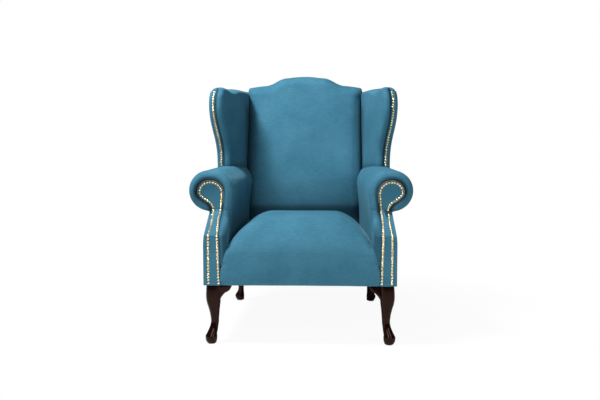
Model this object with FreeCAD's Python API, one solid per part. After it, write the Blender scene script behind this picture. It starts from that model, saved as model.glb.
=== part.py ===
import FreeCAD, Part
import math
import os

from FreeCAD import Vector

# A high-backed upholstered armchair with wings, rolled arms and cabriole front legs.
# Millimetres. X is across the chair, Y runs from front to back and Z is up.
# The origin is on the floor, midway along the chair's width and depth.
# Right means +X, the right-hand side seen from the front.
# The right half is modelled, and the left half is its mirror image.

# Overall sizes
overall_width = 850.0
overall_depth = 860.0
overall_height = 1045.0
seat_bulge = 8.0                 # how far the seat front stands before the arm fronts
body_bottom = 225.0              # underside of the seat frame
side_taper = 2.5                 # degrees that each side runs inwards to the back
cover_thickness = 1.8
panel_thickness = 3.0
soft_clearance = 0.3
wing_headroom = 1.0              # room left in the back stuffing over a wing
wood_clearance = 0.2

# Arms
roll_radius = 77.0
roll_height = 572.0              # centre of the rolled arm above the floor
arm_setback = 85.0               # how far the scrolled front lies behind the lower front
arm_kink_height = 412.0          # where the arm front starts to lean back
arm_lean_height = 500.0          # where it is upright again
arm_nose_radius = 26.0
arm_ring_stand = 15.0            # how far the padded ring stands before its facing
arm_shoulder_run = 34.0          # level top of the arm, in from the roll's centre
arm_bulge_height = 556.0
arm_inner_bulge = 260.0          # half the gap between the arms at the bulge, at the front
arm_inner_waist = 270.0
arm_waist_height = 470.0
arm_foot_height = 345.0          # the inner face is upright from the deck to here
arm_front_round = 40.0
arm_neck_inset = 8.0             # outside of the arm under the roll, in from the roll's centre
arm_pad_depth = 50.0             # stuffing on the inside of the arm
arm_front_inner = 274.0          # half the gap between the lower arm fronts
arm_front_stand = 2.0            # how far the padded lower front lies behind the facing

# Arm facing, as the line of the nails
facing_outer = 341.0
facing_inner_bottom = 302.5
facing_inner_kink = 308.0
facing_neck_outer = 335.0
facing_neck_inner = 311.0
facing_neck_height = 484.0
scroll_radius = 43.0
scroll_centre_x = 346.0
scroll_centre_height = 561.0
facing_margin = 6.0              # cloth outside the nail line
body_side = 359.0                # half the width of the lower body at the front

# Seat
seat_crown_height = 467.0
seat_side_drop = 68.0            # how much lower the crown is beside the arms
seat_flat_half = 135.0           # half the width of the level middle of the crown
seat_front_round_height = 335.0
seat_middle = 340.0              # middle of the crown, behind the arm fronts
seat_middle_drop = 3.0
seat_back_drop = 28.0            # how much lower the crown is behind the inside back
seat_tuck = 60.0                 # how far the seat runs in under the back
seat_side_round_drop = 60.0      # how much lower the front round starts beside the arm fronts
seat_depth = 566.0               # from the arm fronts to the inside back at the seat

# Back
back_top_front = 716.0           # where the inside back reaches the top, behind the arm fronts
back_lean_base = 440.0
outside_back_bottom = 745.0
crest_shoulder_height = 993.0
crest_plateau_half = 92.0
crest_foot_half = 168.0          # where the hump runs out into the shoulders
back_half_width = 262.0
back_edge_round = 40.0
crest_round = 46.0
crest_fall = 12.0                # how much lower the crest is at the rear than over the face
crest_wood_cover = 53.0          # padding over the middle of the crest rail

# Wings
wing_foot_height = 610.0
wing_top_height = 980.0
wing_crease_x = 256.0
rear_half_top = 298.0            # half the width of the outside back, level with the wing tops
wing_band = 19.0                 # cloth band outside the wing's nails
wing_land = 8.0                  # flat under the nails, each side of their line
wing_side_round = 22.0           # rounding from the flat outside to the nailed front
wing_roll_width = 38.0           # padded roll inside the nails
wing_roll_stand = 8.0
wing_tuck = 30.0                 # how far the wing runs in behind the back
wing_low_tip = 348.0             # nail line at the arm, out from the middle of the chair
wing_low_behind = 452.0          # nail line at the arm, behind the arm fronts
wing_flare = 24.0
wing_reach = 66.0                # how far the upper wing stands forward of its foot
wing_curve_start = 690.0         # height where the wing starts to flare and reach forward

# Wood
rail_height = 100.0
rail_thickness = 28.0
post_width = 34.0
post_depth = 50.0
back_post_inset = 6.0            # outer face of a back post in from the outside panels
back_post_top = 950.0
dowel_radius = 4.0
dowel_length = 44.0
dowel_drop = 16.0                # upper dowel below the top of its rail
dowel_spacing = 26.0
block_leg = 78.0
front_stuffing = 20.0            # between the cover and the front rail
back_stuffing = 12.0
side_stuffing = 3.0
side_lean_height = 385.0         # where the outside of the arm starts to lean in
dust_thickness = 1.0
webbing_spacing = 130.0
clip_half_width = 9.0
socket_wall = 2.5
back_leg_inset = 34.0
front_foot_kick = 8.5            # how far the front foot stands out from its knee, each way
post_front_depth = 60.0          # front-to-back size of the front posts
scroll_joint_height = 526.0      # where the scroll board stands on the front post
board_thickness = 24.0
stay_low = 392.0                 # underside of the tacking rail across the back
stay_height = 60.0
crest_low = 905.0                # underside of the crest rail
arm_rail_height = 598.0
wing_rail_height = 936.0

# Legs
knee_width = 54.0
knee_height = 178.0
ankle_width = 30.0
ankle_height = 84.0
foot_width = 45.0
foot_height = 28.0
sole_width = 34.0
front_leg_inset = 34.0           # leg centre in from the corner of the body
back_foot_x = 309.0
back_foot_behind = 780.0
glide_radius = 13.0
glide_thickness = 3.0
hanger_bolt_radius = 4.0
hanger_bolt_length = 70.0

# Springs, cloth and nails
spring_count = 5
spring_spacing = 88.0
spring_wire_radius = 1.9
spring_half_width = 21.0
spring_turns = 20
clip_height = 7.0
deck_thickness = 1.5
webbing_width = 50.0
webbing_thickness = 1.5
nail_head_radius = 4.9
nail_head_height = 2.4
nail_shank_radius = 0.9
nail_shank_length = 9.0
nail_pitch = 11.0
nail_lift = 0.4                  # head of a wing nail above the curved band

front_plane = -overall_depth / 2 + seat_bulge
rail_top = body_bottom + rail_height
deck_bottom = rail_top + clip_height
deck_top = deck_bottom + deck_thickness
taper = math.tan(math.radians(side_taper))
rake = (overall_depth - seat_bulge - outside_back_bottom) / (overall_height - crest_round - body_bottom)
roll_x = overall_width / 2 - roll_radius + (arm_setback - arm_ring_stand + arm_nose_radius) * taper
arm_pivot_x = (facing_outer + facing_inner_kink) / 2
seat_hem = body_bottom - 1.5 * cover_thickness

os.makedirs("parts", exist_ok=True)


def at(x, behind, z):
    """A point at a distance behind the plane of the arm fronts."""
    return Vector(x, front_plane + behind, z)


def closed_wire(start, *steps):
    """Lines and arcs from a start point: (end,) is a line and (middle, end) is an arc."""
    edges = []
    here = start
    for step in steps:
        end = step[-1]
        if len(step) == 2:
            edges.append(Part.Arc(here, step[0], end).toShape())
        else:
            edges.append(Part.LineSegment(here, end).toShape())
        here = end
    return Part.Wire(edges)


def polygon(points):
    return Part.makePolygon(points + points[:1])


def prism(wire, run):
    return Part.Face(wire).extrude(run)


def loft(wires, ruled=False):
    return Part.makeLoft(wires, True, ruled)


def box(low, high):
    size = high - low
    return Part.makeBox(size.x, size.y, size.z, low)


def beam(start, end, width, height):
    """A straight bar whose width lies level and whose height is square to its run."""
    run = end - start
    across = run.cross(Vector(0, 0, 1)).normalize()
    up = across.cross(run).normalize()
    side = across * (width / 2)
    rise = up * (height / 2)
    corners = [start - side - rise, start + side - rise, start + side + rise, start - side + rise]
    return prism(polygon(corners), run)


def rod(start, end, radius):
    run = end - start
    return Part.makeCylinder(radius, run.Length, start, run)


def mirrored(shape):
    return shape.mirror(Vector(0, 0, 0), Vector(1, 0, 0))


def tapered(shape):
    """Turns a right-hand arm piece so that its back end runs inwards."""
    turned = shape.copy()
    turned.rotate(at(arm_pivot_x, 0, 0), Vector(0, 0, 1), side_taper)
    return turned


def save(name, shape):
    solids = shape.Solids
    kept = solids[0] if len(solids) == 1 else Part.makeCompound(solids)
    kept.exportStep("parts/" + name + ".step")
    volume = sum(solid.Volume for solid in solids)
    print(name, len(solids), "solids", round(volume / 1000, 1), "cm3", "valid", kept.isValid())


def save_pair(name, shape):
    save("right_" + name, shape)
    save("left_" + name, mirrored(shape))


def rear_half(z):
    """Half the width of the outside back at a height."""
    low_half = body_side - outside_back_bottom * taper
    return low_half + (rear_half_top - low_half) * (z - body_bottom) / (wing_top_height - body_bottom)


def back_post_at(z):
    """Middle of a back post, out from the middle of the chair, at a height."""
    return rear_half(z) - back_post_inset - post_width / 2


def up_slope(z):
    """Height to draw a point of the back at, so that it has this height once raked."""
    return body_bottom + (z - body_bottom) * math.hypot(1, rake)


def outside_back_at(z):
    """Distance of the outside back behind the arm fronts at a height."""
    return outside_back_bottom + (z - body_bottom) * rake


def inside_back_at(z):
    """Distance of the inside back behind the arm fronts at a height."""
    share = (z - back_lean_base) / (crest_shoulder_height - back_lean_base)
    return seat_depth + (back_top_front - seat_depth) * share


# Arm front, bent back above the kink


def lean_line(offset):
    """Side view of the arm front at a distance behind its face, from the bottom up."""
    top = roll_height + roll_radius
    return [
        at(0, offset, body_bottom),
        at(0, offset, arm_kink_height),
        at(0, offset + arm_setback, arm_lean_height),
        at(0, offset + arm_setback, top),
    ]


def leaning_slab(front, rear):
    """A slab that follows the arm front between two distances behind it."""
    outline = polygon(lean_line(front) + lean_line(rear)[::-1])
    wide = prism(outline, Vector(overall_width, 0, 0))
    return wide


def lean_at(z):
    """Distance of the arm front behind its lower part at a height."""
    share = (z - arm_kink_height) / (arm_lean_height - arm_kink_height)
    return arm_setback * min(max(share, 0.0), 1.0)


def facing_outline():
    """The nail line of the arm facing: straight strip, narrow neck and round scroll."""
    def spot(x, z):
        return at(x, 0, z)

    centre_x = scroll_centre_x
    centre_z = scroll_centre_height
    diagonal = scroll_radius * math.sqrt(0.5)
    top = spot(centre_x, centre_z + scroll_radius)
    outer = spot(centre_x + scroll_radius, centre_z + 6)
    inner = spot(centre_x - scroll_radius, centre_z)
    return closed_wire(
        spot(facing_outer, body_bottom),
        (spot(facing_outer, arm_kink_height),),
        (spot(facing_neck_outer + 1, arm_kink_height + 40), spot(facing_neck_outer, facing_neck_height)),
        (spot(facing_neck_outer + 1.5, facing_neck_height + 24),
         spot(facing_neck_outer + 12, scroll_centre_height - 36)),
        (spot(centre_x + scroll_radius - 11, centre_z - 14),),
        (spot(centre_x + scroll_radius - 2.5, centre_z - 5), outer),
        (spot(centre_x + diagonal, centre_z + diagonal + 2), top),
        (spot(centre_x - diagonal, centre_z + diagonal), inner),
        (spot(facing_neck_inner - 5, centre_z - 40), spot(facing_neck_inner, facing_neck_height - 16)),
        (spot(facing_inner_kink, arm_kink_height),),
        (spot(facing_inner_bottom, body_bottom),),
        (spot(facing_outer, body_bottom),),
    )


def facing_prism(margin):
    """The space before and behind the facing, grown or shrunk from the nail line."""
    outline = Part.Face(facing_outline()).makeOffset2D(margin)
    outline.translate(Vector(0, -arm_setback, 0))
    return outline.extrude(Vector(0, 3 * arm_setback, 0))


# Padded arm


def arm_section(behind, inset, spread):
    """Cross-section of the padded arm: the roll outside, the bulge inside."""
    radius = roll_radius - inset
    top = roll_height + radius
    low = deck_top - spread
    inner = arm_inner_bulge + inset
    shoulder = roll_x - arm_shoulder_run
    across = shoulder - inner
    rise = top - arm_bulge_height
    diagonal = math.sqrt(0.5)
    neck = roll_height - math.sqrt(radius ** 2 - arm_neck_inset ** 2)
    low_side = facing_outer + facing_margin + spread

    def spot(x, z):
        return at(x, behind, z)

    return closed_wire(
        spot(roll_x - arm_neck_inset, neck),
        (spot(roll_x + radius * diagonal, roll_height - radius * diagonal), spot(roll_x + radius, roll_height)),
        (spot(roll_x + radius * diagonal, roll_height + radius * diagonal), spot(roll_x, top)),
        (spot(shoulder, top),),
        (spot(shoulder - across * diagonal, arm_bulge_height + rise * diagonal), spot(inner, arm_bulge_height)),
        (spot(arm_inner_waist - 2 + inset, arm_waist_height), spot(arm_inner_waist + inset, arm_foot_height)),
        (spot(arm_inner_waist + inset, low),),
        (spot(low_side, low),),
        (spot(roll_x - arm_neck_inset, neck),),
    )


def arm_parts(inset, spread, stepped):
    """The rolled arm in two lengths: its rounded front ring, smooth or in steps, and the rest."""
    ring_front = arm_setback - arm_ring_stand + inset
    sections = []
    for angle in (0.0, 22.5, 45.0, 67.5, 90.0):
        turn = math.radians(angle)
        drawn_in = arm_nose_radius * (1 - math.sin(turn))
        depth = arm_nose_radius * (1 - math.cos(turn))
        sections.append(arm_section(ring_front + depth, drawn_in + inset, spread))
    start = ring_front + arm_nose_radius
    straight = prism(arm_section(start, inset, spread), Vector(0, overall_depth - start, 0))
    return loft(sections, stepped), straight


def arm_front(inset, spread):
    """The lower front of the padded arm, which follows the lean of the facing."""
    inner = arm_front_inner + inset
    outer = facing_inner_kink + 20
    rear = arm_setback + 60
    corner = arm_front_round - inset
    turn = corner * (1 - math.sqrt(0.5))
    sections = []
    for z in (deck_top + 1 - spread, arm_kink_height, 441.0, 471.0, arm_lean_height, 530.0):
        front = lean_at(z) + arm_front_stand + inset
        sections.append(closed_wire(
            at(outer, front, z),
            (at(inner + corner, front, z),),
            (at(inner + turn, front + turn, z), at(inner, front + corner, z)),
            (at(inner, rear, z),),
            (at(outer, rear, z),),
            (at(outer, front, z),),
        ))
    return loft(sections, True)


def arm_form(inset, spread, stepped=False):
    nose, straight = arm_parts(inset, spread, stepped)
    return tapered(nose.fuse([straight, arm_front(inset, spread)]))


# Padded wing


def wing_front_x(z):
    """The wing's nail line seen from the front: it flares outwards as it rises."""
    share = min(max((z - wing_curve_start) / 200, 0.0), 1.0)
    swing = wing_flare * (3 * share ** 2 - 2 * share ** 3)
    top_share = max((z - wing_top_height + 70) / 70, 0.0)
    return wing_low_tip + swing - 12 * top_share ** 2


def wing_front_behind(z):
    """The wing's front edge seen from the side: an S that comes forward near the top."""
    share = min(max((z - wing_curve_start) / 215, 0.0), 1.0)
    swing = wing_reach * (3 * share ** 2 - 2 * share ** 3)
    top_share = max((z - wing_top_height + 55) / 55, 0.0)
    return wing_low_behind - swing + 26 * top_share ** 2


def wing_section(z, inset, spread=0.0):
    """Level cross-section of the wing: flat outer face, nailed edge, roll and crowned inside."""
    tip = wing_front_x(z)
    front = wing_front_behind(z) + inset
    rear = outside_back_at(z) - panel_thickness + spread
    outer = tip + wing_band - panel_thickness - inset + spread
    rear_outer = rear_half(z) - panel_thickness + spread - inset
    crease = wing_crease_x + inset
    roll = tip - wing_land - wing_roll_width + inset
    bulge = (roll + crease) / 2 - 9
    return closed_wire(
        at(rear_outer, rear, z),
        (at(outer, front + wing_side_round, z),),
        (at(outer - 3, front + 5, z), at(tip + wing_land, front, z)),
        (at(tip - wing_land, front, z),),
        (at(roll + wing_roll_width * 0.42, front - wing_roll_stand, z), at(roll, front + 12, z)),
        (at(bulge, front + 128, z), at(crease, rear - 120, z)),
        (at(crease - wing_tuck, rear - 40, z),),
        (at(crease - wing_tuck, rear, z),),
        (at(rear_outer, rear, z),),
    )


wing_levels = (wing_foot_height, 690.0, 760.0, 830.0, 900.0, 940.0, 962.0)


def wing_form(inset, spread=0.0, headroom=0.0):
    sections = [wing_section(z, inset, spread) for z in wing_levels]
    crown = wing_top_height - wing_levels[-1] + headroom
    for angle in (35, 70):
        turn = math.radians(angle)
        drawn_in = crown * (1 - math.cos(turn))
        height = wing_levels[-1] + (crown - inset) * math.sin(turn)
        sections.append(wing_section(height, inset + drawn_in, spread))
    return loft(sections)


# Padded back


def crest_height(x):
    """Height of the humped top of the back at a distance from the middle."""
    reach = min(max((abs(x) - crest_plateau_half) / (crest_foot_half - crest_plateau_half), 0.0), 1.0)
    fall = 3 * reach ** 2 - 2 * reach ** 3
    crown = 6 * (x / crest_plateau_half) ** 2 if reach == 0 else 6
    shoulder = crest_shoulder_height + 10 * max(1 - (abs(x) - crest_foot_half) / 80, 0) if reach == 1 else 0
    hump = overall_height - crown - (overall_height - crown - crest_shoulder_height - 10) * fall
    return shoulder if reach == 1 else hump


def back_section(x, inset, spread=0.0):
    """Front-to-back section of the padded back: leaning face, rolled top and flat rear."""
    top = crest_height(x) - inset
    low = deck_top + 2 - spread
    edge = max(abs(x) - (back_half_width - back_edge_round), 0.0) / back_edge_round
    drawn_back = back_edge_round * (1 - math.sqrt(max(1 - edge ** 2, 0.0)))
    crown = 10 * (1 - (x / back_half_width) ** 2)
    face = drawn_back - crown + inset
    roll = crest_round
    rear_top = outside_back_at(top - roll) - panel_thickness + spread
    rear_low = outside_back_at(low) - panel_thickness + spread
    front_top = inside_back_at(top - roll) + face
    rear_round = roll - crest_fall
    quarter = 1 - math.sqrt(0.5)
    return closed_wire(
        at(x, inside_back_at(low) + face, low),
        (at(x, front_top, top - roll),),
        (at(x, front_top + roll * quarter, top - roll * quarter), at(x, front_top + roll, top)),
        (at(x, rear_top - rear_round, top - crest_fall),),
        (at(x, rear_top - rear_round * quarter, top - crest_fall - rear_round * quarter),
         at(x, rear_top, top - roll)),
        (at(x, rear_low, low),),
        (at(x, inside_back_at(low) + face, low),),
    )


back_stations = (0.0, 45.0, 80.0, 104.0, 124.0, 144.0, crest_foot_half, 205.0, 235.0, 252.0)


def back_form(inset, spread=0.0):
    """The whole back, lofted from side to side through its stations."""
    outer = [back_half_width - 2 - inset]
    stations = list(back_stations[1:]) + outer
    line = [-x for x in reversed(stations)] + [0.0] + stations
    return loft([back_section(x, inset, spread) for x in line])


# Padded seat


def seat_section(x, inset, spread=0.0):
    """Front-to-back section of the padded seat: upright front, large round and crown."""
    side = max(abs(x) - seat_flat_half, 0.0) / (arm_inner_bulge - seat_flat_half)
    top = seat_crown_height - seat_side_drop * side ** 2 - inset
    bulge = seat_bulge * (1 - (x / facing_inner_bottom) ** 2)
    front = -bulge + inset
    low = seat_hem - spread
    start = seat_front_round_height - seat_side_round_drop * max(side - 1, 0)
    radius = top - start
    turn = radius * (1 - math.sqrt(0.5))
    rear = inside_back_at(deck_top) + seat_tuck
    return closed_wire(
        at(x, front, low),
        (at(x, front, start),),
        (at(x, front + turn, top - turn), at(x, front + radius, top)),
        (at(x, seat_middle, top - seat_middle_drop), at(x, rear, top - seat_back_drop)),
        (at(x, rear, low),),
        (at(x, front, low),),
    )


def seat_form(inset, spread=0.0):
    outer = facing_inner_bottom - facing_margin - soft_clearance - inset
    half = [70.0, seat_flat_half, 175.0, 215.0, 250.0, 275.0, outer]
    line = [-x for x in reversed(half)] + [0.0] + half
    return loft([seat_section(x, inset, spread) for x in line])


# Wooden frame


def raked(shape):
    """Leans an upright piece of the back to the rake of the outside back."""
    leaned = shape.copy()
    angle = math.degrees(math.atan(rake))
    leaned.rotate(at(0, outside_back_bottom, body_bottom), Vector(1, 0, 0), -angle)
    return leaned


def front_post():
    side = body_side - panel_thickness - wood_clearance
    stile = box(
        at(facing_inner_kink - 4, -arm_setback, body_bottom),
        at(side, 2 * arm_setback, arm_kink_height - 26))
    outline = facing_prism(5).fuse(stile)
    blank = outline.common(leaning_slab(panel_thickness, panel_thickness + post_front_depth))
    top = box(
        at(0, -arm_setback, body_bottom),
        at(overall_width, 3 * arm_setback, scroll_joint_height))
    return tapered(blank.common(top).removeSplitter())


def scroll_board():
    blank = facing_prism(8).common(leaning_slab(panel_thickness, panel_thickness + board_thickness))
    top = box(
        at(0, -arm_setback, scroll_joint_height),
        at(overall_width, 3 * arm_setback, overall_height))
    return tapered(blank.common(top))


def back_post():
    """A back post that leans inwards as it rises and follows the rake of the back."""
    foot = body_bottom - rail_height
    rear = outside_back_bottom - panel_thickness
    half = post_width / 2
    blank = prism(polygon([
        at(back_post_at(foot) - half, rear - post_depth, foot),
        at(back_post_at(foot) + half, rear - post_depth, foot),
        at(back_post_at(back_post_top) + half, rear - post_depth, back_post_top),
        at(back_post_at(back_post_top) - half, rear - post_depth, back_post_top),
    ]), Vector(0, post_depth, 0))
    ground = box(at(0, 0, 0), at(overall_width, overall_depth, body_bottom))
    return raked(blank).cut(ground)


def crest_rail(behind):
    """The humped board across the top of the back, cut to follow the crest."""
    hump = up_slope(overall_height - crest_wood_cover)
    shoulder = hump - (overall_height - crest_shoulder_height) + 14
    blank = closed_wire(
        at(-back_half_width, behind, crest_low),
        (at(0, behind, crest_low + 12), at(back_half_width, behind, crest_low)),
        (at(back_half_width, behind, shoulder - 4),),
        (at(crest_foot_half, behind, shoulder),),
        (at(crest_plateau_half + 20, behind, hump),),
        (at(0, behind, hump + 10), at(-crest_plateau_half - 20, behind, hump)),
        (at(-crest_foot_half, behind, shoulder),),
        (at(-back_half_width, behind, shoulder - 4),),
        (at(-back_half_width, behind, crest_low),),
    )
    return raked(prism(blank, Vector(0, rail_thickness, 0)))


def wing_post_section(z):
    """Level section of the curved front post of a wing, just inside its cover."""
    tip = wing_front_x(z)
    front = wing_front_behind(z) + cover_thickness + soft_clearance
    return polygon([
        at(tip - 13, front, z),
        at(tip + 11, front, z),
        at(tip + 11, front + 30, z),
        at(tip - 13, front + 30, z),
    ])


# Outside panels


def side_line(inset):
    """Front view of the outside of the lower arm, upright and then leaning in to the roll."""
    under_roll = roll_height - math.sqrt(roll_radius ** 2 - arm_neck_inset ** 2) - soft_clearance
    return [
        at(body_side - inset, 0, seat_hem),
        at(body_side - inset, 0, side_lean_height),
        at(roll_x - arm_neck_inset + panel_thickness - inset + 1, 0, under_roll),
    ]


def outside_arm():
    """The panel on the outside of an arm, turned round the front edge to the nails."""
    run = Vector(0, 2 * overall_depth, 0)
    back = Vector(0, -arm_setback, 0)
    sheet = polygon([point + back for point in side_line(0) + side_line(panel_thickness)[::-1]])
    wide = polygon([point + back for point in side_line(0) + side_line(30)[::-1]])
    panel = prism(sheet, run).common(leaning_slab(0, overall_depth))
    band = prism(wide, run).common(leaning_slab(0, panel_thickness))
    return panel.fuse(band.cut(facing_prism(facing_margin + soft_clearance))).removeSplitter()


def outside_wing_section(z):
    """Level section of the outside wing panel: along the side and round to the nails."""
    tip = wing_front_x(z)
    front = wing_front_behind(z)
    rear = outside_back_at(z)
    sheet = panel_thickness
    outer = tip + wing_band
    return closed_wire(
        at(rear_half(z), rear, z),
        (at(outer, front + wing_side_round, z),),
        (at(outer - 3.5, front + 3.5, z), at(tip + wing_land, front - sheet, z)),
        (at(tip - nail_head_radius - 1, front - sheet, z),),
        (at(tip - nail_head_radius - 1, front - wood_clearance, z),),
        (at(tip + wing_land, front - wood_clearance, z),),
        (at(outer - sheet - 2.6, front + 4.9, z), at(outer - sheet + wood_clearance, front + wing_side_round, z)),
        (at(rear_half(z) - sheet + wood_clearance, rear, z),),
        (at(rear_half(z), rear, z),),
    )


def outside_wing():
    return loft([outside_wing_section(z) for z in wing_levels])


def outside_back(behind):
    """The flat panel that closes the back, under the rolled crest."""
    def top(x):
        return up_slope(crest_height(x) - crest_round)

    corner = up_slope(wing_levels[-1])
    top_half = rear_half(wing_levels[-1])
    low_half = rear_half(seat_hem)
    blank = closed_wire(
        at(-low_half, behind, seat_hem),
        (at(low_half, behind, seat_hem),),
        (at(top_half, behind, corner),),
        (at(back_half_width, behind, top(back_half_width)),),
        (at(crest_foot_half, behind, top(crest_foot_half)),),
        (at(crest_plateau_half, behind, top(crest_plateau_half)),),
        (at(0, behind, top(0)), at(-crest_plateau_half, behind, top(crest_plateau_half))),
        (at(-crest_foot_half, behind, top(crest_foot_half)),),
        (at(-back_half_width, behind, top(back_half_width)),),
        (at(-top_half, behind, corner),),
        (at(-low_half, behind, seat_hem),),
    )
    return raked(prism(blank, Vector(0, panel_thickness, 0)))


def dust_cover(front):
    """The thin black cloth tacked under the seat frame."""
    edge = 8.0
    rear = outside_back_bottom - panel_thickness - edge
    front_half = body_side - edge
    back_half = front_half - rear * taper
    return prism(polygon([
        at(-front_half, front, body_bottom - dust_thickness),
        at(front_half, front, body_bottom - dust_thickness),
        at(back_half, rear, body_bottom - dust_thickness),
        at(-back_half, rear, body_bottom - dust_thickness),
    ]), Vector(0, 0, dust_thickness))


def arm_hollow():
    """The empty space between the inside stuffing of an arm and its outside panel."""
    inner = arm_inner_waist + arm_pad_depth
    low = at(inner, post_front_depth + panel_thickness + 30, deck_top - 1)
    high = at(body_side + 10, overall_depth, roll_height - roll_radius * 0.6)
    return tapered(box(low, high))


def biggest(shapes):
    return max(shapes, key=lambda solid: solid.Volume)


def dowel(centre, direction):
    half = direction.normalize() * (dowel_length / 2)
    return rod(centre - half, centre + half, dowel_radius)


def corner_block(x_side, behind, turn_y):
    """A triangular block glued across an inside corner of the seat frame."""
    corner = at(x_side, behind, body_bottom)
    along = Vector(-block_leg, 0, 0)
    back = Vector(0, block_leg * turn_y, 0)
    snip = 0.18
    outline = polygon([
        corner + along * snip + back * 0,
        corner + along,
        corner + back,
        corner + back * snip,
    ])
    return prism(outline, Vector(0, 0, rail_height * 0.45))


# Legs


def square_section(centre, width, corner, z):
    """A level square with rounded corners."""
    half = width / 2
    flat = half - corner
    bow = half - corner * (1 - math.sqrt(0.5))
    cx = centre.x
    cy = centre.y

    def spot(x, y):
        return Vector(cx + x, cy + y, z)

    return closed_wire(
        spot(half, -flat),
        (spot(half, flat),),
        (spot(bow, bow), spot(flat, half)),
        (spot(-flat, half),),
        (spot(-bow, bow), spot(-half, flat)),
        (spot(-half, -flat),),
        (spot(-bow, -bow), spot(-flat, -half)),
        (spot(flat, -half),),
        (spot(bow, -bow), spot(half, -flat)),
    )


def leg_loft(stations, outward):
    """A leg through stations of height, width, corner share and shift along its outward line."""
    sections = []
    for z, width, corner_share, shift in stations:
        centre = outward[0] + outward[1] * shift
        sections.append(square_section(centre, width, width * corner_share, z))
    return loft(sections)


def front_leg():
    centre = at(body_side - front_leg_inset, front_leg_inset, 0)
    diagonal = Vector(1, -1, 0)
    stations = [
        (glide_thickness, sole_width, 0.45, 8.5),
        (foot_height * 0.55, foot_width - 2, 0.47, 9.5),
        (foot_height, foot_width, 0.47, 9.5),
        (foot_height + 8, foot_width - 5, 0.46, 8.0),
        (50, 35.5, 0.44, 3.5),
        (66, 31, 0.42, -0.5),
        (ankle_height, ankle_width, 0.4, -3.0),
        (108, 34, 0.36, -2.6),
        (134, 42, 0.32, -1.0),
        (158, 51, 0.28, 0.6),
        (knee_height, knee_width, 0.24, 1.2),
        (202, knee_width - 1, 0.2, 0.8),
        (body_bottom, knee_width - 3, 0.16, 0),
    ]
    leg = leg_loft(stations, (centre, diagonal))
    half = knee_width / 2
    reach = 66.0
    low = 160.0
    ear = prism(closed_wire(
        at(centre.x - half + 8, front_leg_inset - half + 7, low - 8),
        (at(centre.x - half - 12, front_leg_inset - half + 7, low + 22),
         at(centre.x - half - reach + 30, front_leg_inset - half + 7, body_bottom - 16)),
        (at(centre.x - half - reach + 24, front_leg_inset - half + 7, body_bottom),),
        (at(centre.x - half + 8, front_leg_inset - half + 7, body_bottom),),
        (at(centre.x - half + 8, front_leg_inset - half + 7, low - 8),),
    ), Vector(0, 26, 0))
    side_ear = prism(closed_wire(
        at(centre.x + half - 7, front_leg_inset + half - 8, low - 8),
        (at(centre.x + half - 7, front_leg_inset + half + 12, low + 22),
         at(centre.x + half - 7, front_leg_inset + half + reach - 30, body_bottom - 16)),
        (at(centre.x + half - 7, front_leg_inset + half + reach - 24, body_bottom),),
        (at(centre.x + half - 7, front_leg_inset + half - 8, body_bottom),),
        (at(centre.x + half - 7, front_leg_inset + half - 8, low - 8),),
    ), Vector(-26, 0, 0))
    return leg.fuse([ear, side_ear])


def back_leg():
    top = at(back_foot_x, outside_back_bottom - back_leg_inset, 0)
    kick = Vector(0, 1, 0)
    lean = back_foot_behind - outside_back_bottom + back_leg_inset
    stations = [
        (glide_thickness, 33, 0.45, lean),
        (12, 40, 0.46, lean),
        (22, 43, 0.46, lean),
        (32, 38, 0.44, lean - 1.5),
        (46, 29, 0.4, lean - 6),
        (64, 25, 0.36, lean - 12),
        (100, 28, 0.3, lean - 24),
        (150, 36, 0.24, lean - 38),
        (body_bottom, 43, 0.18, 0),
    ]
    shaped = []
    for z, width, corner_share, shift in stations:
        out = 0.14 * (shift - lean) + (43 - width) * -0.35
        centre = top + kick * shift + Vector(out + 2, 0, 0)
        shaped.append(square_section(centre, width, width * corner_share, z))
    return loft(shaped)


# Springs


def spring(x, front, rear):
    """One zigzag spring of straight bars joined by half turns, as one unbroken wire."""
    bend = (rear - front) / (2 * spring_turns)
    z = rail_top + clip_height / 2
    side = 1
    edges = []
    here = at(x, front, z)
    reach = spring_half_width - bend
    for turn in range(spring_turns):
        corner = at(x + reach * side, front + 2 * bend * turn, z)
        edges.append(Part.LineSegment(here, corner).toShape())
        top = corner + Vector(bend * side, bend, 0)
        far = corner + Vector(0, 2 * bend, 0)
        across = bend * side * math.sqrt(0.5)
        along = bend * (1 - math.sqrt(0.5))
        edges.append(Part.Arc(corner, corner + Vector(across, along, 0), top).toShape())
        edges.append(Part.Arc(top, far + Vector(across, -along, 0), far).toShape())
        here = far
        side = -side
    end = at(x, front + 2 * bend * spring_turns, z)
    edges.append(Part.LineSegment(here, end).toShape())
    path = Part.Wire(edges)
    start = edges[0].valueAt(edges[0].FirstParameter)
    section = Part.Wire(Part.makeCircle(spring_wire_radius, start, Vector(1, 0, 0)))
    gap = 2 * bend - 2 * spring_wire_radius
    return path.makePipeShell([section], True, False), gap


# Nails


def nail(seat, outward):
    """A domed nail: its head sits on the cloth and its shank goes into the wood."""
    dome = (nail_head_radius ** 2 + nail_head_height ** 2) / (2 * nail_head_height)
    turn = math.asin(nail_head_radius / dome) / 2
    shoulder = Vector(dome * math.sin(turn), 0, nail_head_height - dome * (1 - math.cos(turn)))
    head = closed_wire(
        Vector(0, 0, -nail_shank_length),
        (Vector(nail_shank_radius, 0, -nail_shank_length),),
        (Vector(nail_shank_radius, 0, 0),),
        (Vector(nail_head_radius, 0, 0),),
        (shoulder, Vector(0, 0, nail_head_height)),
        (Vector(0, 0, -nail_shank_length),),
    )
    turned = Part.Face(head).revolve(Vector(0, 0, 0), Vector(0, 0, 1), 360)
    turned.Placement = FreeCAD.Placement(seat, FreeCAD.Rotation(Vector(0, 0, 1), outward))
    return turned


def nail_hole(seat, outward):
    start = seat + outward
    return rod(start, seat - outward * (nail_shank_length + 1), nail_shank_radius + 0.05)


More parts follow.
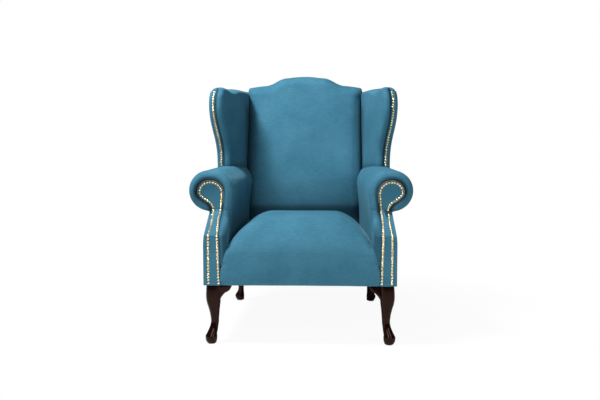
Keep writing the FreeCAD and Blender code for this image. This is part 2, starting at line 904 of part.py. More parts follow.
def spaced(points, pitch):
    """Seats along a dense line of points, as near to the pitch as fits a whole count."""
    runs = [0.0]
    for before, after in zip(points, points[1:]):
        runs.append(runs[-1] + before.distanceToPoint(after))
    count = max(int(round(runs[-1] / pitch)), 1)
    seats = []
    place = 0
    for step in range(count + 1):
        target = runs[-1] * step / count
        while place < len(runs) - 2 and runs[place + 1] < target:
            place += 1
        share = (target - runs[place]) / max(runs[place + 1] - runs[place], 1e-9)
        seats.append(points[place] + (points[place + 1] - points[place]) * share)
    return seats


def arm_nail_seats():
    """Seats and directions of the nails round the arm facing, in the arm's own place."""
    edges = facing_outline().OrderedEdges[:-1]
    points = []
    for edge in edges:
        line = edge.discretize(40)
        if points and points[-1].distanceToPoint(line[-1]) < points[-1].distanceToPoint(line[0]):
            line = line[::-1]
        points.extend(line if not points else line[1:])
    bent = [Vector(point.x, front_plane + lean_at(point.z), point.z) for point in points]
    inside = [point for point in bent if point.z > body_bottom + nail_head_radius]
    ahead = Vector(0, -1, 0)
    slope = Vector(0, -(arm_lean_height - arm_kink_height), arm_setback).normalize()
    halfway = (slope + ahead).normalize()
    lift = nail_head_radius * math.tan(slope.getAngle(ahead) / 2)
    seats = []
    for seat in spaced(inside, nail_pitch):
        if abs(seat.z - arm_lean_height) < nail_head_radius:
            seats.append((seat + halfway * lift, halfway))
        elif abs(seat.z - arm_kink_height) < nail_head_radius:
            seats.append((seat, halfway))
        elif arm_kink_height < seat.z < arm_lean_height:
            seats.append((seat, slope))
        else:
            seats.append((seat, ahead))
    return seats


def wing_nail_seats():
    low = roll_height + roll_radius + 4
    high = 958.0
    steps = 120
    points = []
    for step in range(steps + 1):
        z = low + (high - low) * step / steps
        points.append(at(wing_front_x(z), wing_front_behind(z) - panel_thickness, z))
    seats = []
    for seat in spaced(points, nail_pitch):
        lean = wing_front_behind(seat.z + 0.5) - wing_front_behind(seat.z - 0.5)
        outward = Vector(0, -1, lean).normalize()
        seats.append((seat + outward * nail_lift, outward))
    return seats


# Legs and what fixes them

leg_tops = {
    "front": at(body_side - front_leg_inset, front_leg_inset, 0),
    "back": at(back_foot_x + 2, outside_back_bottom - back_leg_inset, 0),
}
soles = {
    "front": leg_tops["front"] + Vector(front_foot_kick, -front_foot_kick, 0),
    "back": at(back_foot_x + 2, back_foot_behind, 0),
}
leg_shapes = {"front": front_leg(), "back": back_leg()}
bolts = []
glides = []
sockets = []
for end in ("front", "back"):
    middle = leg_tops[end] + Vector(0, 0, body_bottom)
    half = Vector(0, 0, hanger_bolt_length / 2)
    bolt = rod(middle - half, middle + half, hanger_bolt_radius)
    socket = rod(middle, middle + half, hanger_bolt_radius + socket_wall).cut(bolt)
    glide = rod(soles[end], soles[end] + Vector(0, 0, glide_thickness), glide_radius)
    bolts += [bolt, mirrored(bolt)]
    sockets += [socket, mirrored(socket)]
    glides += [glide, mirrored(glide)]
    save_pair(end + "_leg", leg_shapes[end].cut(bolt))
fixings = Part.makeCompound(bolts + sockets)
save("leg_bolts", Part.makeCompound(bolts))
save("leg_sockets", Part.makeCompound(sockets))
save("foot_glides", Part.makeCompound(glides))

# Wooden frame

post = front_post().cut(fixings)
board = scroll_board()
rear_post = back_post().cut(fixings)
posts = Part.makeCompound([post, mirrored(post), rear_post, mirrored(rear_post)])
rear_face = outside_back_bottom - panel_thickness
front_rail_behind = panel_thickness + front_stuffing
back_rail_behind = rear_face - back_stuffing - rail_thickness
back_post_low = back_post_at(rail_top)

side_rail = box(
    at(body_side - panel_thickness - side_stuffing - rail_thickness, front_rail_behind, body_bottom),
    at(body_side - panel_thickness - side_stuffing, rear_face - post_depth + 4, rail_top))
side_rail = biggest(tapered(side_rail).cut(posts).Solids)
side_rails = Part.makeCompound([side_rail, mirrored(side_rail)])
front_rail = box(
    at(-facing_inner_kink - 2, front_rail_behind, body_bottom),
    at(facing_inner_kink + 2, front_rail_behind + rail_thickness, rail_top))
front_rail = biggest(front_rail.cut(posts).Solids)
back_rail = box(
    at(-back_post_low, back_rail_behind, body_bottom),
    at(back_post_low, back_rail_behind + rail_thickness, rail_top))
back_rail = biggest(back_rail.cut(posts).cut(side_rails).Solids)

arm_rail = beam(
    at(roll_x - 14, arm_setback + panel_thickness + board_thickness - 10, arm_rail_height),
    at(back_post_at(arm_rail_height), outside_back_at(arm_rail_height) - post_depth + 10, arm_rail_height), 36, 26)
arm_rail = biggest(arm_rail.cut(board).cut(rear_post).Solids)
tack_height = deck_top + 30
tack_rail = beam(
    at(330, post_front_depth - 10, tack_height),
    at(back_post_low, outside_back_at(tack_height) - 30, tack_height), 22, 32)
tack_rail = biggest(tack_rail.cut(post).cut(rear_post).Solids)

wing_post_levels = (arm_rail_height + 13, 690.0, 760.0, 830.0, 900.0, 935.0, 960.0)
wing_post = loft([wing_post_section(z) for z in wing_post_levels])
wing_rail = beam(
    at(wing_front_x(wing_rail_height) - 2, wing_front_behind(wing_rail_height) + 18, wing_rail_height),
    at(back_post_at(wing_rail_height), outside_back_at(wing_rail_height) - 20, wing_rail_height), 26, 26)
wing_rail = biggest(wing_rail.cut(wing_post).cut(rear_post).Solids)

webbing_face = rear_face - post_depth
webbing_half = back_post_at(back_post_top)
crest = crest_rail(webbing_face)
crest = biggest(crest.cut(posts).Solids)
stay = box(
    at(-back_post_low, webbing_face, stay_low),
    at(back_post_low, webbing_face + rail_thickness, stay_low + stay_height))
stay = biggest(raked(stay).cut(posts).Solids)

dowels = []
for height in (rail_top - dowel_drop, rail_top - dowel_drop - dowel_spacing):
    front_end = at(facing_inner_kink - 4, front_rail_behind + rail_thickness / 2, height)
    back_end = at(back_post_low - post_width / 2, back_rail_behind + rail_thickness / 2, height)
    side_end = at(
        body_side - panel_thickness - side_stuffing - rail_thickness / 2,
        panel_thickness + post_front_depth, height)
    dowels.append(dowel(front_end, Vector(1, 0, 0)))
    dowels.append(dowel(back_end, Vector(1, 0, 0)))
    dowels.append(tapered(dowel(side_end, Vector(0, 1, 0))))
dowels += [mirrored(pin) for pin in dowels]
all_dowels = Part.makeCompound(dowels)

lower_wood = Part.makeCompound([posts, side_rails])
blocks = [
    corner_block(facing_inner_kink + 20, front_rail_behind + rail_thickness, 1),
    corner_block(back_post_low - post_width / 2 + 20, back_rail_behind, -1),
]
blocks += [mirrored(block) for block in blocks]
blocks = [biggest(block.cut(lower_wood).cut(fixings).Solids) for block in blocks]

# Springs, webbing and the cloth over the springs

spring_places = [(number - (spring_count - 1) / 2) * spring_spacing for number in range(spring_count)]
spring_front = front_rail_behind + rail_thickness / 2
spring_rear = back_rail_behind + rail_thickness / 2
springs = []
clips = []
for x in spring_places:
    wire, spring_gap = spring(x, spring_front, spring_rear)
    springs.append(wire)
    for behind in (spring_front, spring_rear):
        clips.append(box(
            at(x - clip_half_width, behind - clip_half_width, rail_top),
            at(x + clip_half_width, behind + clip_half_width, rail_top + clip_height)))
print("least gap between the turns of a spring", round(spring_gap, 2), "mm")
spring_group = Part.makeCompound(springs)
clip_group = Part.makeCompound(clips).cut(spring_group)

deck = prism(polygon([
    at(-facing_inner_kink, front_rail_behind, deck_bottom),
    at(facing_inner_kink, front_rail_behind, deck_bottom),
    at(back_post_low - 30, back_rail_behind + rail_thickness, deck_bottom),
    at(-back_post_low + 30, back_rail_behind + rail_thickness, deck_bottom),
]), Vector(0, 0, deck_thickness))
tacks = Part.makeCompound([tack_rail, mirrored(tack_rail)])
deck = biggest(deck.cut(lower_wood).cut(tacks).Solids)

webbing = []
for place in (-1, 0, 1):
    middle = place * webbing_spacing
    webbing.append(raked(box(
        at(middle - webbing_width / 2, webbing_face - webbing_thickness, stay_low + 20),
        at(middle + webbing_width / 2, webbing_face, crest_low + 60))))
for height in (480.0, 600.0, 720.0, 840.0):
    webbing.append(raked(box(
        at(-webbing_half, webbing_face - 2 * webbing_thickness, height),
        at(webbing_half, webbing_face - webbing_thickness, height + webbing_width))))
webbing_group = Part.makeCompound(webbing)

# Facings and outside panels

behind_back = raked(box(
    at(-overall_width, rear_face, -overall_height),
    at(overall_width, 2 * overall_depth, 2 * overall_height)))
behind_cover = behind_back.copy()
behind_cover.translate(Vector(0, -cover_thickness, 0))
above_hem = box(at(0, -overall_depth, seat_hem), at(overall_width, overall_depth, overall_height))
facing = tapered(facing_prism(facing_margin).common(leaning_slab(0, panel_thickness)).common(above_hem))
recess = facing_prism(facing_margin + soft_clearance)
recess = tapered(recess.common(leaning_slab(-overall_depth, panel_thickness)))
side_panel = tapered(outside_arm()).cut(behind_back)
arm_clear = arm_form(-soft_clearance, 0)
arms_clear = Part.makeCompound([arm_clear, mirrored(arm_clear)])
wing_panel = biggest(outside_wing().cut(arm_clear).cut(behind_back).Solids)
back_panel = outside_back(rear_face)
legs = [leg_shapes["front"], leg_shapes["back"]]
legs = Part.makeCompound(legs + [mirrored(leg) for leg in legs])
dust = dust_cover(front_rail_behind).cut(legs)

# Nails

arm_nails = []
arm_holes = []
for seat, outward in arm_nail_seats():
    arm_nails.append(nail(seat, outward))
    arm_holes.append(nail_hole(seat, outward))
arm_nails = tapered(Part.makeCompound(arm_nails))
arm_holes = tapered(Part.makeCompound(arm_holes))
wing_nails = []
wing_holes = []
for seat, outward in wing_nail_seats():
    wing_nails.append(nail(seat, outward))
    wing_holes.append(nail_hole(seat, outward))
wing_nails = Part.makeCompound(wing_nails)
wing_holes = Part.makeCompound(wing_holes)

# Padded arms and wings with their covers

wood_in_arm = Part.makeCompound([post, board, arm_rail, tack_rail, rear_post, side_rail, wing_post, stay])
hollow_arm = arm_hollow()
hollow_back = raked(box(
    at(-webbing_half, webbing_face - 2 * webbing_thickness, deck_bottom),
    at(webbing_half, overall_depth, crest_low)))
arm_stuff = arm_form(cover_thickness, 0, True).cut(hollow_arm).cut(hollow_back).cut(behind_cover).cut(recess)
arm_stuff = arm_stuff.cut(wood_in_arm).cut(side_panel)
arm_pad = biggest(arm_stuff.Solids)
arm_inside = arm_form(cover_thickness, cover_thickness + 1, True).cut(behind_cover)
arm_skin = arm_form(0, 0).cut(arm_inside)
arm_skin = arm_skin.cut(hollow_back).cut(behind_back).cut(recess).cut(wood_in_arm).cut(side_panel)
arm_cover = biggest(arm_skin.Solids)

wing_clear = wing_form(-soft_clearance, 0, wing_headroom)
wings_clear = Part.makeCompound([wing_clear, mirrored(wing_clear)])
wood_in_wing = Part.makeCompound([wing_post, wing_rail, rear_post, crest, arm_rail])
wing_stuff = wing_form(cover_thickness).cut(arm_clear).cut(hollow_back).cut(behind_cover)
wing_stuff = wing_stuff.cut(wood_in_wing).cut(wing_panel).cut(wing_holes)
wing_pad = biggest(wing_stuff.Solids)
wing_skin = wing_form(0).cut(wing_form(cover_thickness, cover_thickness + 1).cut(behind_cover))
wing_skin = wing_skin.cut(arm_clear).cut(hollow_back).cut(behind_back).cut(wood_in_wing)
wing_skin = wing_skin.cut(wing_panel).cut(wing_holes)
wing_cover = biggest(wing_skin.Solids)

# Padded back and seat with their covers

back_wood = Part.makeCompound([rear_post, mirrored(rear_post), crest, stay])
back_trim = [arms_clear, wings_clear, back_wood, behind_back, webbing_group]
back_pad = back_form(cover_thickness).cut(hollow_back)
back_skin = back_form(0).cut(back_form(cover_thickness, cover_thickness + 1))
for cutter in back_trim:
    back_pad = back_pad.cut(cutter)
    back_skin = back_skin.cut(cutter)
back_pad = biggest(back_pad.Solids)
back_cover = biggest(back_skin.cut(hollow_back).Solids)

back_clear = back_form(-soft_clearance, soft_clearance)
facings = Part.makeCompound([recess, mirrored(recess), post, mirrored(post)])
under_deck = box(
    at(-overall_width, front_rail_behind - soft_clearance, 0),
    at(overall_width, overall_depth, deck_top))
seat_trim = [under_deck, arms_clear, back_clear, facings, tacks, legs]
seat_pad = seat_form(cover_thickness)
seat_skin = seat_form(0).cut(seat_form(cover_thickness, cover_thickness + 1))
for cutter in seat_trim:
    seat_pad = seat_pad.cut(cutter)
    seat_skin = seat_skin.cut(cutter)
seat_pad = biggest(seat_pad.Solids)
seat_cover = biggest(seat_skin.Solids)

# Files, one for each node

save_pair("front_post", post.cut(all_dowels).cut(arm_holes))
save_pair("scroll_board", board.cut(arm_holes))
save_pair("back_post", rear_post.cut(all_dowels))
save_pair("side_seat_rail", side_rail.cut(all_dowels))
save_pair("arm_top_rail", arm_rail)
save_pair("arm_tack_rail", tack_rail)
save_pair("wing_post", wing_post.cut(wing_holes))
save_pair("wing_top_rail", wing_rail)
save("front_seat_rail", front_rail.cut(all_dowels))
save("back_seat_rail", back_rail.cut(all_dowels))
save("crest_rail", crest)
save("back_tack_rail", stay)
save("corner_blocks", Part.makeCompound(blocks))
save("frame_dowels", all_dowels)
save("seat_springs", spring_group)
save("spring_clips", clip_group)
save("seat_deck_cloth", deck)
save("back_webbing", webbing_group)
save("dust_cover", dust)
save_pair("arm_facing", facing.cut(arm_holes))
save_pair("outside_arm", side_panel.cut(arm_holes))
save_pair("outside_wing", wing_panel.cut(wing_holes))
save("outside_back", back_panel)
save_pair("arm_pad", arm_pad)
save_pair("arm_cover", arm_cover)
save_pair("wing_pad", wing_pad)
save_pair("wing_cover", wing_cover)
save("back_pad", back_pad)
save("back_cover", back_cover)
save("seat_pad", seat_pad)
save("seat_cover", seat_cover)
save_pair("arm_nails", arm_nails)
save_pair("wing_nails", wing_nails)
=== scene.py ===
"""The looks of a wingback armchair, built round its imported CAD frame.

Shapes are worked out in millimetres as (across, behind, up): across from the middle
of the chair, behind the plane of the arm fronts, and up from the floor. A mesh is
turned into the row frame, in metres, when it is made.
"""

import logging
import math
from dataclasses import dataclass, field
from enum import Enum

import bmesh
import bpy
import numpy as np
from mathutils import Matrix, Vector


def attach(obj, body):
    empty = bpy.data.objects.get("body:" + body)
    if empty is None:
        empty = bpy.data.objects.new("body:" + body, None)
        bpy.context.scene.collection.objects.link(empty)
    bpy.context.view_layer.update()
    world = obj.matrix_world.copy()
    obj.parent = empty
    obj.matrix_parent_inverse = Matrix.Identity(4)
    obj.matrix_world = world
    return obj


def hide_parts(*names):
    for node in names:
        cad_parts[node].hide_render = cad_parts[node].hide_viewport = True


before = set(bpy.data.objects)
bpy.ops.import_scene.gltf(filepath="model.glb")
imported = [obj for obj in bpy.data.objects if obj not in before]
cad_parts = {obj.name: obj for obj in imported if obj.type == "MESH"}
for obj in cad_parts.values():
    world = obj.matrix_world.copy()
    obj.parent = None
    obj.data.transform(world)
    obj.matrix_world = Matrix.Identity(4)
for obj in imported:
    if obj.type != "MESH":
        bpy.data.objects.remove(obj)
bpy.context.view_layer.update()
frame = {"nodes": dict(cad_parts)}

LOG = logging.getLogger("wing_chair")
ROOT = "root"
FRONT_PLANE = -422.0  # Y of the arm fronts, in millimetres
METRE = 1000.0  # millimetres in a metre
DOUBLED = 1e-6  # points nearer than this, in metres, are one
NEVER_ZERO = 1e-9  # added to a divisor
QUARTER = math.pi / 2
MIX_FIRST, MIX_SECOND, MIX_COLOUR = 6, 7, 2  # a Mix node's colour sockets, which share names with others


class Side(Enum):
    """The two halves of the chair, by the sign of X."""

    RIGHT = 1
    LEFT = -1

    @property
    def word(self) -> str:
        """The word that node names start with."""
        return self.name.lower()


class Grain(Enum):
    """The object axis that wood grain runs along."""

    ACROSS = 0
    DEPTH = 1
    UPRIGHT = 2


# Numbers and curves


def smooth(t: np.ndarray | float) -> np.ndarray:
    """Rises from 0 to 1 with level ends: 3t^2 - 2t^3 of t held to 0..1."""
    t = np.clip(t, 0.0, 1.0)
    return t * t * (3 - 2 * t)


def blend(a: np.ndarray, b: np.ndarray, t: np.ndarray) -> np.ndarray:
    """The point at share t of the way from a to b."""
    return a + (b - a) * t


def arc(start: tuple, middle: tuple, end: tuple, count: int) -> np.ndarray:
    """Points on the circle through three plane points, evenly spaced by angle.

    The centre is where the perpendicular bisectors of the two chords cross.

    Args:
        start: First point.
        middle: A point between.
        end: Last point.
        count: Number of points, ends included.

    Returns:
        A (count, 2) array.
    """
    a, b, c = (np.array(p, float) for p in (start, middle, end))
    d = 2 * (a[0] * (b[1] - c[1]) + b[0] * (c[1] - a[1]) + c[0] * (a[1] - b[1]))
    ux = ((a @ a) * (b[1] - c[1]) + (b @ b) * (c[1] - a[1]) + (c @ c) * (a[1] - b[1])) / d
    uy = ((a @ a) * (c[0] - b[0]) + (b @ b) * (a[0] - c[0]) + (c @ c) * (b[0] - a[0])) / d
    centre = np.array([ux, uy])
    radius = np.linalg.norm(a - centre)
    first, mid, last = (math.atan2(*(p - centre)[::-1]) for p in (a, b, c))
    turn = (last - first) % (2 * math.pi)
    if (mid - first) % (2 * math.pi) > turn:
        turn -= 2 * math.pi
    angles = first + turn * np.linspace(0, 1, count)
    return centre + radius * np.stack([np.cos(angles), np.sin(angles)], 1)


def line(start: tuple, end: tuple, count: int) -> np.ndarray:
    """Evenly spaced points on a straight run, ends included."""
    return blend(np.array(start, float), np.array(end, float), np.linspace(0, 1, count)[:, None])


def chain(*runs: np.ndarray) -> np.ndarray:
    """Joins runs end to end, dropping each repeated joint."""
    return np.concatenate([runs[0]] + [run[1:] for run in runs[1:]])


def through(keys: np.ndarray, values: np.ndarray, at: np.ndarray) -> np.ndarray:
    """A smooth curve through given values, by cubic Hermite pieces.

    Each slope is the harmonic mean of its two neighbours' slopes, or 0 at a turning point.

    Args:
        keys: Rising positions of the values.
        values: (n,) or (n, k) values there.
        at: Positions to read.

    Returns:
        The values at those positions.
    """
    values = np.asarray(values, float)
    flat = values.ndim == 1
    table = values[:, None] if flat else values
    step = np.diff(keys)[:, None]
    slope = np.diff(table, axis=0) / step
    product = slope[1:] * slope[:-1]
    inner = np.where(product > 0, 2 * product / (slope[1:] + slope[:-1] + NEVER_ZERO), 0.0)
    tangents = np.concatenate([slope[:1], inner, slope[-1:]])
    place = np.clip(np.searchsorted(keys, at, side="right") - 1, 0, len(keys) - 2)
    t = ((at - np.asarray(keys)[place]) / step[place, 0])[:, None]
    h = step[place]
    result = (
        (2 * t**3 - 3 * t**2 + 1) * table[place]
        + (t**3 - 2 * t**2 + t) * h * tangents[place]
        + (-2 * t**3 + 3 * t**2) * table[place + 1]
        + (t**3 - t**2) * h * tangents[place + 1]
    )
    return result[:, 0] if flat else result


def even(points: np.ndarray, count: int) -> np.ndarray:
    """The same line with points evenly spaced along its length.

    Args:
        points: (n, k) points of the line.
        count: Number of points to make.

    Returns:
        A (count, k) array.
    """
    run = np.concatenate([[0.0], np.cumsum(np.linalg.norm(np.diff(points, axis=0), axis=1))])
    spots = np.linspace(0, run[-1], count)
    return np.stack([np.interp(spots, run, points[:, k]) for k in range(points.shape[1])], 1)


def steps(count: int, start: float = 0.0, end: float = 1.0, skip: int = 1) -> np.ndarray:
    """Even steps from start to end as one row, without the first ones that skip says."""
    return np.linspace(start, end, count)[None, skip:]


def crowded(half: float, count: int, reach: float) -> np.ndarray:
    """Places from -half to half that crowd towards both ends, as a sine does.

    Args:
        half: The last place.
        count: Number of places.
        reach: Share of a quarter turn that the sine runs over.

    Returns:
        The places.
    """
    return half * np.sin(np.linspace(-1, 1, count) * QUARTER * reach) / math.sin(QUARTER * reach)


def sections(x: np.ndarray, *runs: tuple) -> tuple:
    """Joins runs of (behind, up) into one closed section for each place across.

    Args:
        x: Places across.
        runs: Pairs of arrays that spread to (places, points).

    Returns:
        Three (places, around) arrays: across, behind and up.
    """
    whole = [np.broadcast_arrays(x[:, None], *run) for run in runs]
    return tuple(np.concatenate(part, 1) for part in zip(*whole))


def superellipse(stations: tuple, levels: int, around: int) -> tuple:
    """Level rings |x/h|^p + |b/h|^p = 1 whose half width h and power p follow the stations.

    Args:
        stations: Rows of height, width, power and shift.
        levels: Number of rings.
        around: Points in a ring.

    Returns:
        (levels, around) heights, columns of width and shift, and (levels, around) x and b.
    """
    table = np.array(stations, float)
    z = np.linspace(table[0, 0], table[-1, 0], levels)
    width, power, shift = (column[:, None] for column in through(table[:, 0], table[:, 1:], z).T)
    angle = np.linspace(0, 2 * math.pi, around, endpoint=False)[None, :]
    waves = np.cos(angle), np.sin(angle)
    x, b = (width / 2 * np.sign(wave) * np.abs(wave) ** (2 / power) for wave in waves)
    return z[:, None] + 0 * x, width, shift, x, b


def bell(far: np.ndarray, width: float) -> np.ndarray:
    """1 in the middle, falling to both sides: e to the minus square of far / width."""
    return np.exp(-((far / width) ** 2))


def ripple(x: np.ndarray, y: np.ndarray, seed: float) -> np.ndarray:
    """A gentle uneven wave from -1 to 1: the mean of four sines in skew directions.

    Args:
        x: Places along one way, in turns of a few radians.
        y: Places along the other way.
        seed: Start of the sines.

    Returns:
        The wave at each place.
    """
    waves = (
        np.sin(x * 1.00 + y * 0.35 + seed)
        + np.sin(x * -0.62 + y * 0.91 + seed * 2.3)
        + np.sin(x * 0.41 - y * 1.27 + seed * 3.1)
        + np.sin(x * 1.53 + y * 0.77 + seed * 4.7)
    )
    return waves / 4


# Meshes


def place(points: np.ndarray) -> np.ndarray:
    """Millimetres (across, behind, up) to metres in the row frame."""
    moved = np.array(points, float)
    moved[..., 1] += FRONT_PLANE
    return moved / METRE


def make_piece(
    name: str, rings: np.ndarray, finish: bpy.types.Material, side: Side = Side.RIGHT
) -> bpy.types.Object:
    """Makes a closed, smooth-shaded piece at the origin with its faces pointing outwards.

    Args:
        name: Name of the piece.
        rings: (rings, around, 3) array in millimetres, as drawn for the right-hand side.
        finish: Its material.
        side: The left side mirrors the points.

    Returns:
        The new object.
    """
    spots = place(rings.reshape(-1, 3))
    spots[:, 0] *= side.value
    mesh = bpy.data.meshes.new(name)
    mesh.from_pydata(spots.tolist(), [], tube_faces(*rings.shape[:2]))
    mesh.polygons.foreach_set("use_smooth", np.ones(len(mesh.polygons), bool))
    outwards(mesh)
    made = bpy.data.objects.new(name, mesh)
    bpy.context.scene.collection.objects.link(made)
    dress(made, finish)
    return made


def declare(piece: bpy.types.Object, slot: str, *nodes: str, fill: float | None = None) -> None:
    """Attaches a new piece to the root, hides the CAD nodes that it stands for and logs its point count.

    Args:
        piece: The piece.
        slot: Not used; it names a material slot.
        nodes: CAD nodes that it stands for.
        fill: Not used; how full it is, for a padded piece.
    """
    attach(piece, ROOT)
    if nodes:
        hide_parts(*nodes)
    LOG.info("%s: %d points", piece.name, len(piece.data.vertices))


def outwards(mesh: bpy.types.Mesh) -> None:
    """Turns every face outwards after merging doubled points.

    Args:
        mesh: The closed mesh.
    """
    work = bmesh.new()
    work.from_mesh(mesh)
    bmesh.ops.remove_doubles(work, verts=work.verts, dist=DOUBLED)
    bmesh.ops.recalc_face_normals(work, faces=work.faces)
    work.to_mesh(mesh)
    work.free()


def tube_faces(rings: int, around: int) -> list:
    """Quads of a grid that is closed around, with a many-sided face at each end.

    Args:
        rings: Number of rings.
        around: Points in a ring.

    Returns:
        Lists of point numbers.
    """
    row = np.arange(rings - 1)[:, None] * around
    col = np.arange(around)[None, :]
    after = (col + 1) % around
    quads = np.stack([row + col, row + after, row + around + after, row + around + col], -1).reshape(-1, 4)
    last = (rings - 1) * around
    return quads.tolist() + [list(range(around))[::-1], list(range(last, last + around))]


# Finishes


class Nodes:
    """A material's node tree, written with few words."""

    def __init__(self, name: str) -> None:
        """Starts an empty material with an output."""
        self.material = bpy.data.materials.new(name)
        self.material.use_nodes = True
        self.tree = self.material.node_tree
        self.tree.nodes.clear()
        self.output = self.tree.nodes.new("ShaderNodeOutputMaterial")
        self.spot = self.add("TexCoord").outputs["Object"]

    def add(self, kind: str, **sockets: object) -> bpy.types.Node:
        """Adds a node and sets its sockets or properties.

        Args:
            kind: Node type without its ShaderNode prefix.
            sockets: Values by socket name with underscores for spaces, or node properties.

        Returns:
            The node.
        """
        node = self.tree.nodes.new("ShaderNode" + kind)
        for key, value in sockets.items():
            label = key.replace("_", " ")
            if label in node.inputs:
                if isinstance(value, bpy.types.NodeSocket):
                    self.tree.links.new(value, node.inputs[label])
                else:
                    node.inputs[label].default_value = value
            else:
                setattr(node, key, value)
        return node

    def join(self, start: bpy.types.NodeSocket, end: bpy.types.NodeSocket) -> None:
        """Links two sockets."""
        self.tree.links.new(start, end)

    def maths(self, operation: str, *values: object) -> bpy.types.NodeSocket:
        """A Math node's result.

        Args:
            operation: What the node does.
            values: Numbers or sockets for its inputs.

        Returns:
            The result's socket.
        """
        node = self.tree.nodes.new("ShaderNodeMath")
        node.operation = operation
        for socket, value in zip(node.inputs, values):
            if isinstance(value, bpy.types.NodeSocket):
                self.tree.links.new(value, socket)
            else:
                socket.default_value = value
        return node.outputs[0]

    def ramp(self, value: bpy.types.NodeSocket, stops: list) -> bpy.types.NodeSocket:
        """A colour ramp.

        Args:
            value: The socket that picks the colour.
            stops: Pairs of position and colour.

        Returns:
            The colour's socket.
        """
        node = self.tree.nodes.new("ShaderNodeValToRGB")
        self.tree.links.new(value, node.inputs[0])
        points = node.color_ramp.elements
        while len(points) < len(stops):
            points.new(0.5)
        for point, (position, colour) in zip(points, stops):
            point.position = position
            point.color = (*colour, 1.0)
        return node.outputs[0]

    def noise(
        self, scale: float, detail: float, roughness: float = 0.5, distortion: float = 0.0, drawn: tuple = ()
    ) -> bpy.types.NodeSocket:
        """A noise pattern on the object's own axes.

        Args:
            scale: Its fineness, per metre.
            detail: Layers of finer noise.
            roughness: Share of the finer layers.
            distortion: How far it is bent by itself.
            drawn: Scale along each axis, small along the one that it is drawn out on.

        Returns:
            The noise's value.
        """
        spot = self.add("Mapping", Vector=self.spot, Scale=drawn).outputs[0] if drawn else self.spot
        look = {"Scale": scale, "Detail": detail, "Roughness": roughness, "Distortion": distortion}
        return self.add("TexNoise", Vector=spot, **look).outputs[0]

    def close(self, shader: bpy.types.Node) -> bpy.types.Material:
        """Joins the last shader to the output."""
        self.tree.links.new(shader.outputs[0], self.output.inputs[0])
        return self.material

    def surface(
        self, colour: bpy.types.NodeSocket, roughness: object, relief: tuple = (), **sockets: object
    ) -> bpy.types.Material:
        """Closes the material with one Principled shader.

        Args:
            colour: Its base colour.
            roughness: A number or a socket.
            relief: Height, strength and distance in metres of a bump, or nothing.
            sockets: The shader's other sockets.

        Returns:
            The material.
        """
        if relief:
            height, strength, distance = relief
            bump = self.add("Bump", Height=height, Strength=strength, Distance=distance)
            sockets["Normal"] = bump.outputs[0]
        return self.close(self.add("BsdfPrincipled", Base_Color=colour, Roughness=roughness, **sockets))


@dataclass(frozen=True)
class Velvet:
    """Cut pile cloth: dark down its pile, pale where the pile's sides catch the light, with shade painted
    into creases, valleys and shadowed bands.
    """

    name: str = "petrol_velvet"
    deep: tuple = (0.018, 0.098, 0.155)
    pale: tuple = (0.055, 0.185, 0.265)
    # Colour of the painted shade in creases, valleys and shadowed bands.
    painted_shade: tuple = (0.002, 0.014, 0.024)
    sheen_colour: tuple = (0.35, 0.78, 0.95, 1.0)
    sheen: float = 0.12
    sheen_roughness: float = 0.35
    crush_scale: float = 9.0
    streak_scale: float = 260.0
    pile_scale: float = 900.0
    crush_share: float = 0.38
    streak_share: float = 0.42
    pile_share: float = 0.22

    def build(self) -> bpy.types.Material:
        """Makes the material: crushed patches, pile grain, a fine bump and shade painted in by a point
        attribute.

        Returns:
            The material.
        """
        nodes = Nodes(self.name)
        crush = nodes.noise(self.crush_scale, 3.0)
        streak = nodes.noise(self.streak_scale, 5.0, 0.6, drawn=(0.2, 0.4, 1.0))
        pile = nodes.noise(self.pile_scale, 2.0, 0.7)
        mixed = nodes.maths("MULTIPLY", streak, self.streak_share)
        mixed = nodes.maths("MULTIPLY_ADD", crush, self.crush_share, mixed)
        mixed = nodes.maths("MULTIPLY_ADD", pile, self.pile_share, mixed)
        open_pile = nodes.ramp(mixed, [(0.3, self.deep), (0.76, self.pale)])
        # Painted shade: a point attribute from 0 to 1 mixes the colour towards the painted shade colour.
        painted_shade = nodes.add("Attribute", attribute_name="painted_shade")
        darkened = nodes.add("Mix", data_type="RGBA")
        nodes.join(painted_shade.outputs["Fac"], darkened.inputs["Factor"])
        nodes.join(open_pile, darkened.inputs[MIX_FIRST])
        darkened.inputs[MIX_SECOND].default_value = (*self.painted_shade, 1.0)
        height = nodes.maths("MULTIPLY_ADD", pile, 0.5, nodes.maths("MULTIPLY", streak, 0.9))
        return nodes.surface(
            darkened.outputs[MIX_COLOUR], 0.82, (height, 0.22, 0.0012), Specular_IOR_Level=0.15,
            Sheen_Weight=self.sheen, Sheen_Roughness=self.sheen_roughness, Sheen_Tint=self.sheen_colour,
        )


@dataclass(frozen=True)
class PolishedWood:
    """Near-black mahogany under a glossy finish."""

    name: str = "polished_mahogany"
    dark: tuple = (0.003, 0.001, 0.0008)
    warm: tuple = (0.013, 0.004, 0.003)

    def build(self) -> bpy.types.Material:
        """Makes the material: long grain in two browns under a clear coat.

        Returns:
            The material.
        """
        nodes = Nodes(self.name)
        grain = nodes.noise(160.0, 7.0, 0.6, 0.4, drawn=(1.0, 1.0, 0.08))
        colour = nodes.ramp(grain, [(0.35, self.dark), (0.75, self.warm)])
        rough = nodes.maths("MULTIPLY_ADD", grain, 0.08, 0.1)
        return nodes.surface(
            colour, rough, (grain, 0.05, 0.0006), Coat_Weight=0.06, Coat_Roughness=0.06,
            Specular_IOR_Level=0.16, Specular_Tint=(1.0, 0.5, 0.4, 1.0),
        )


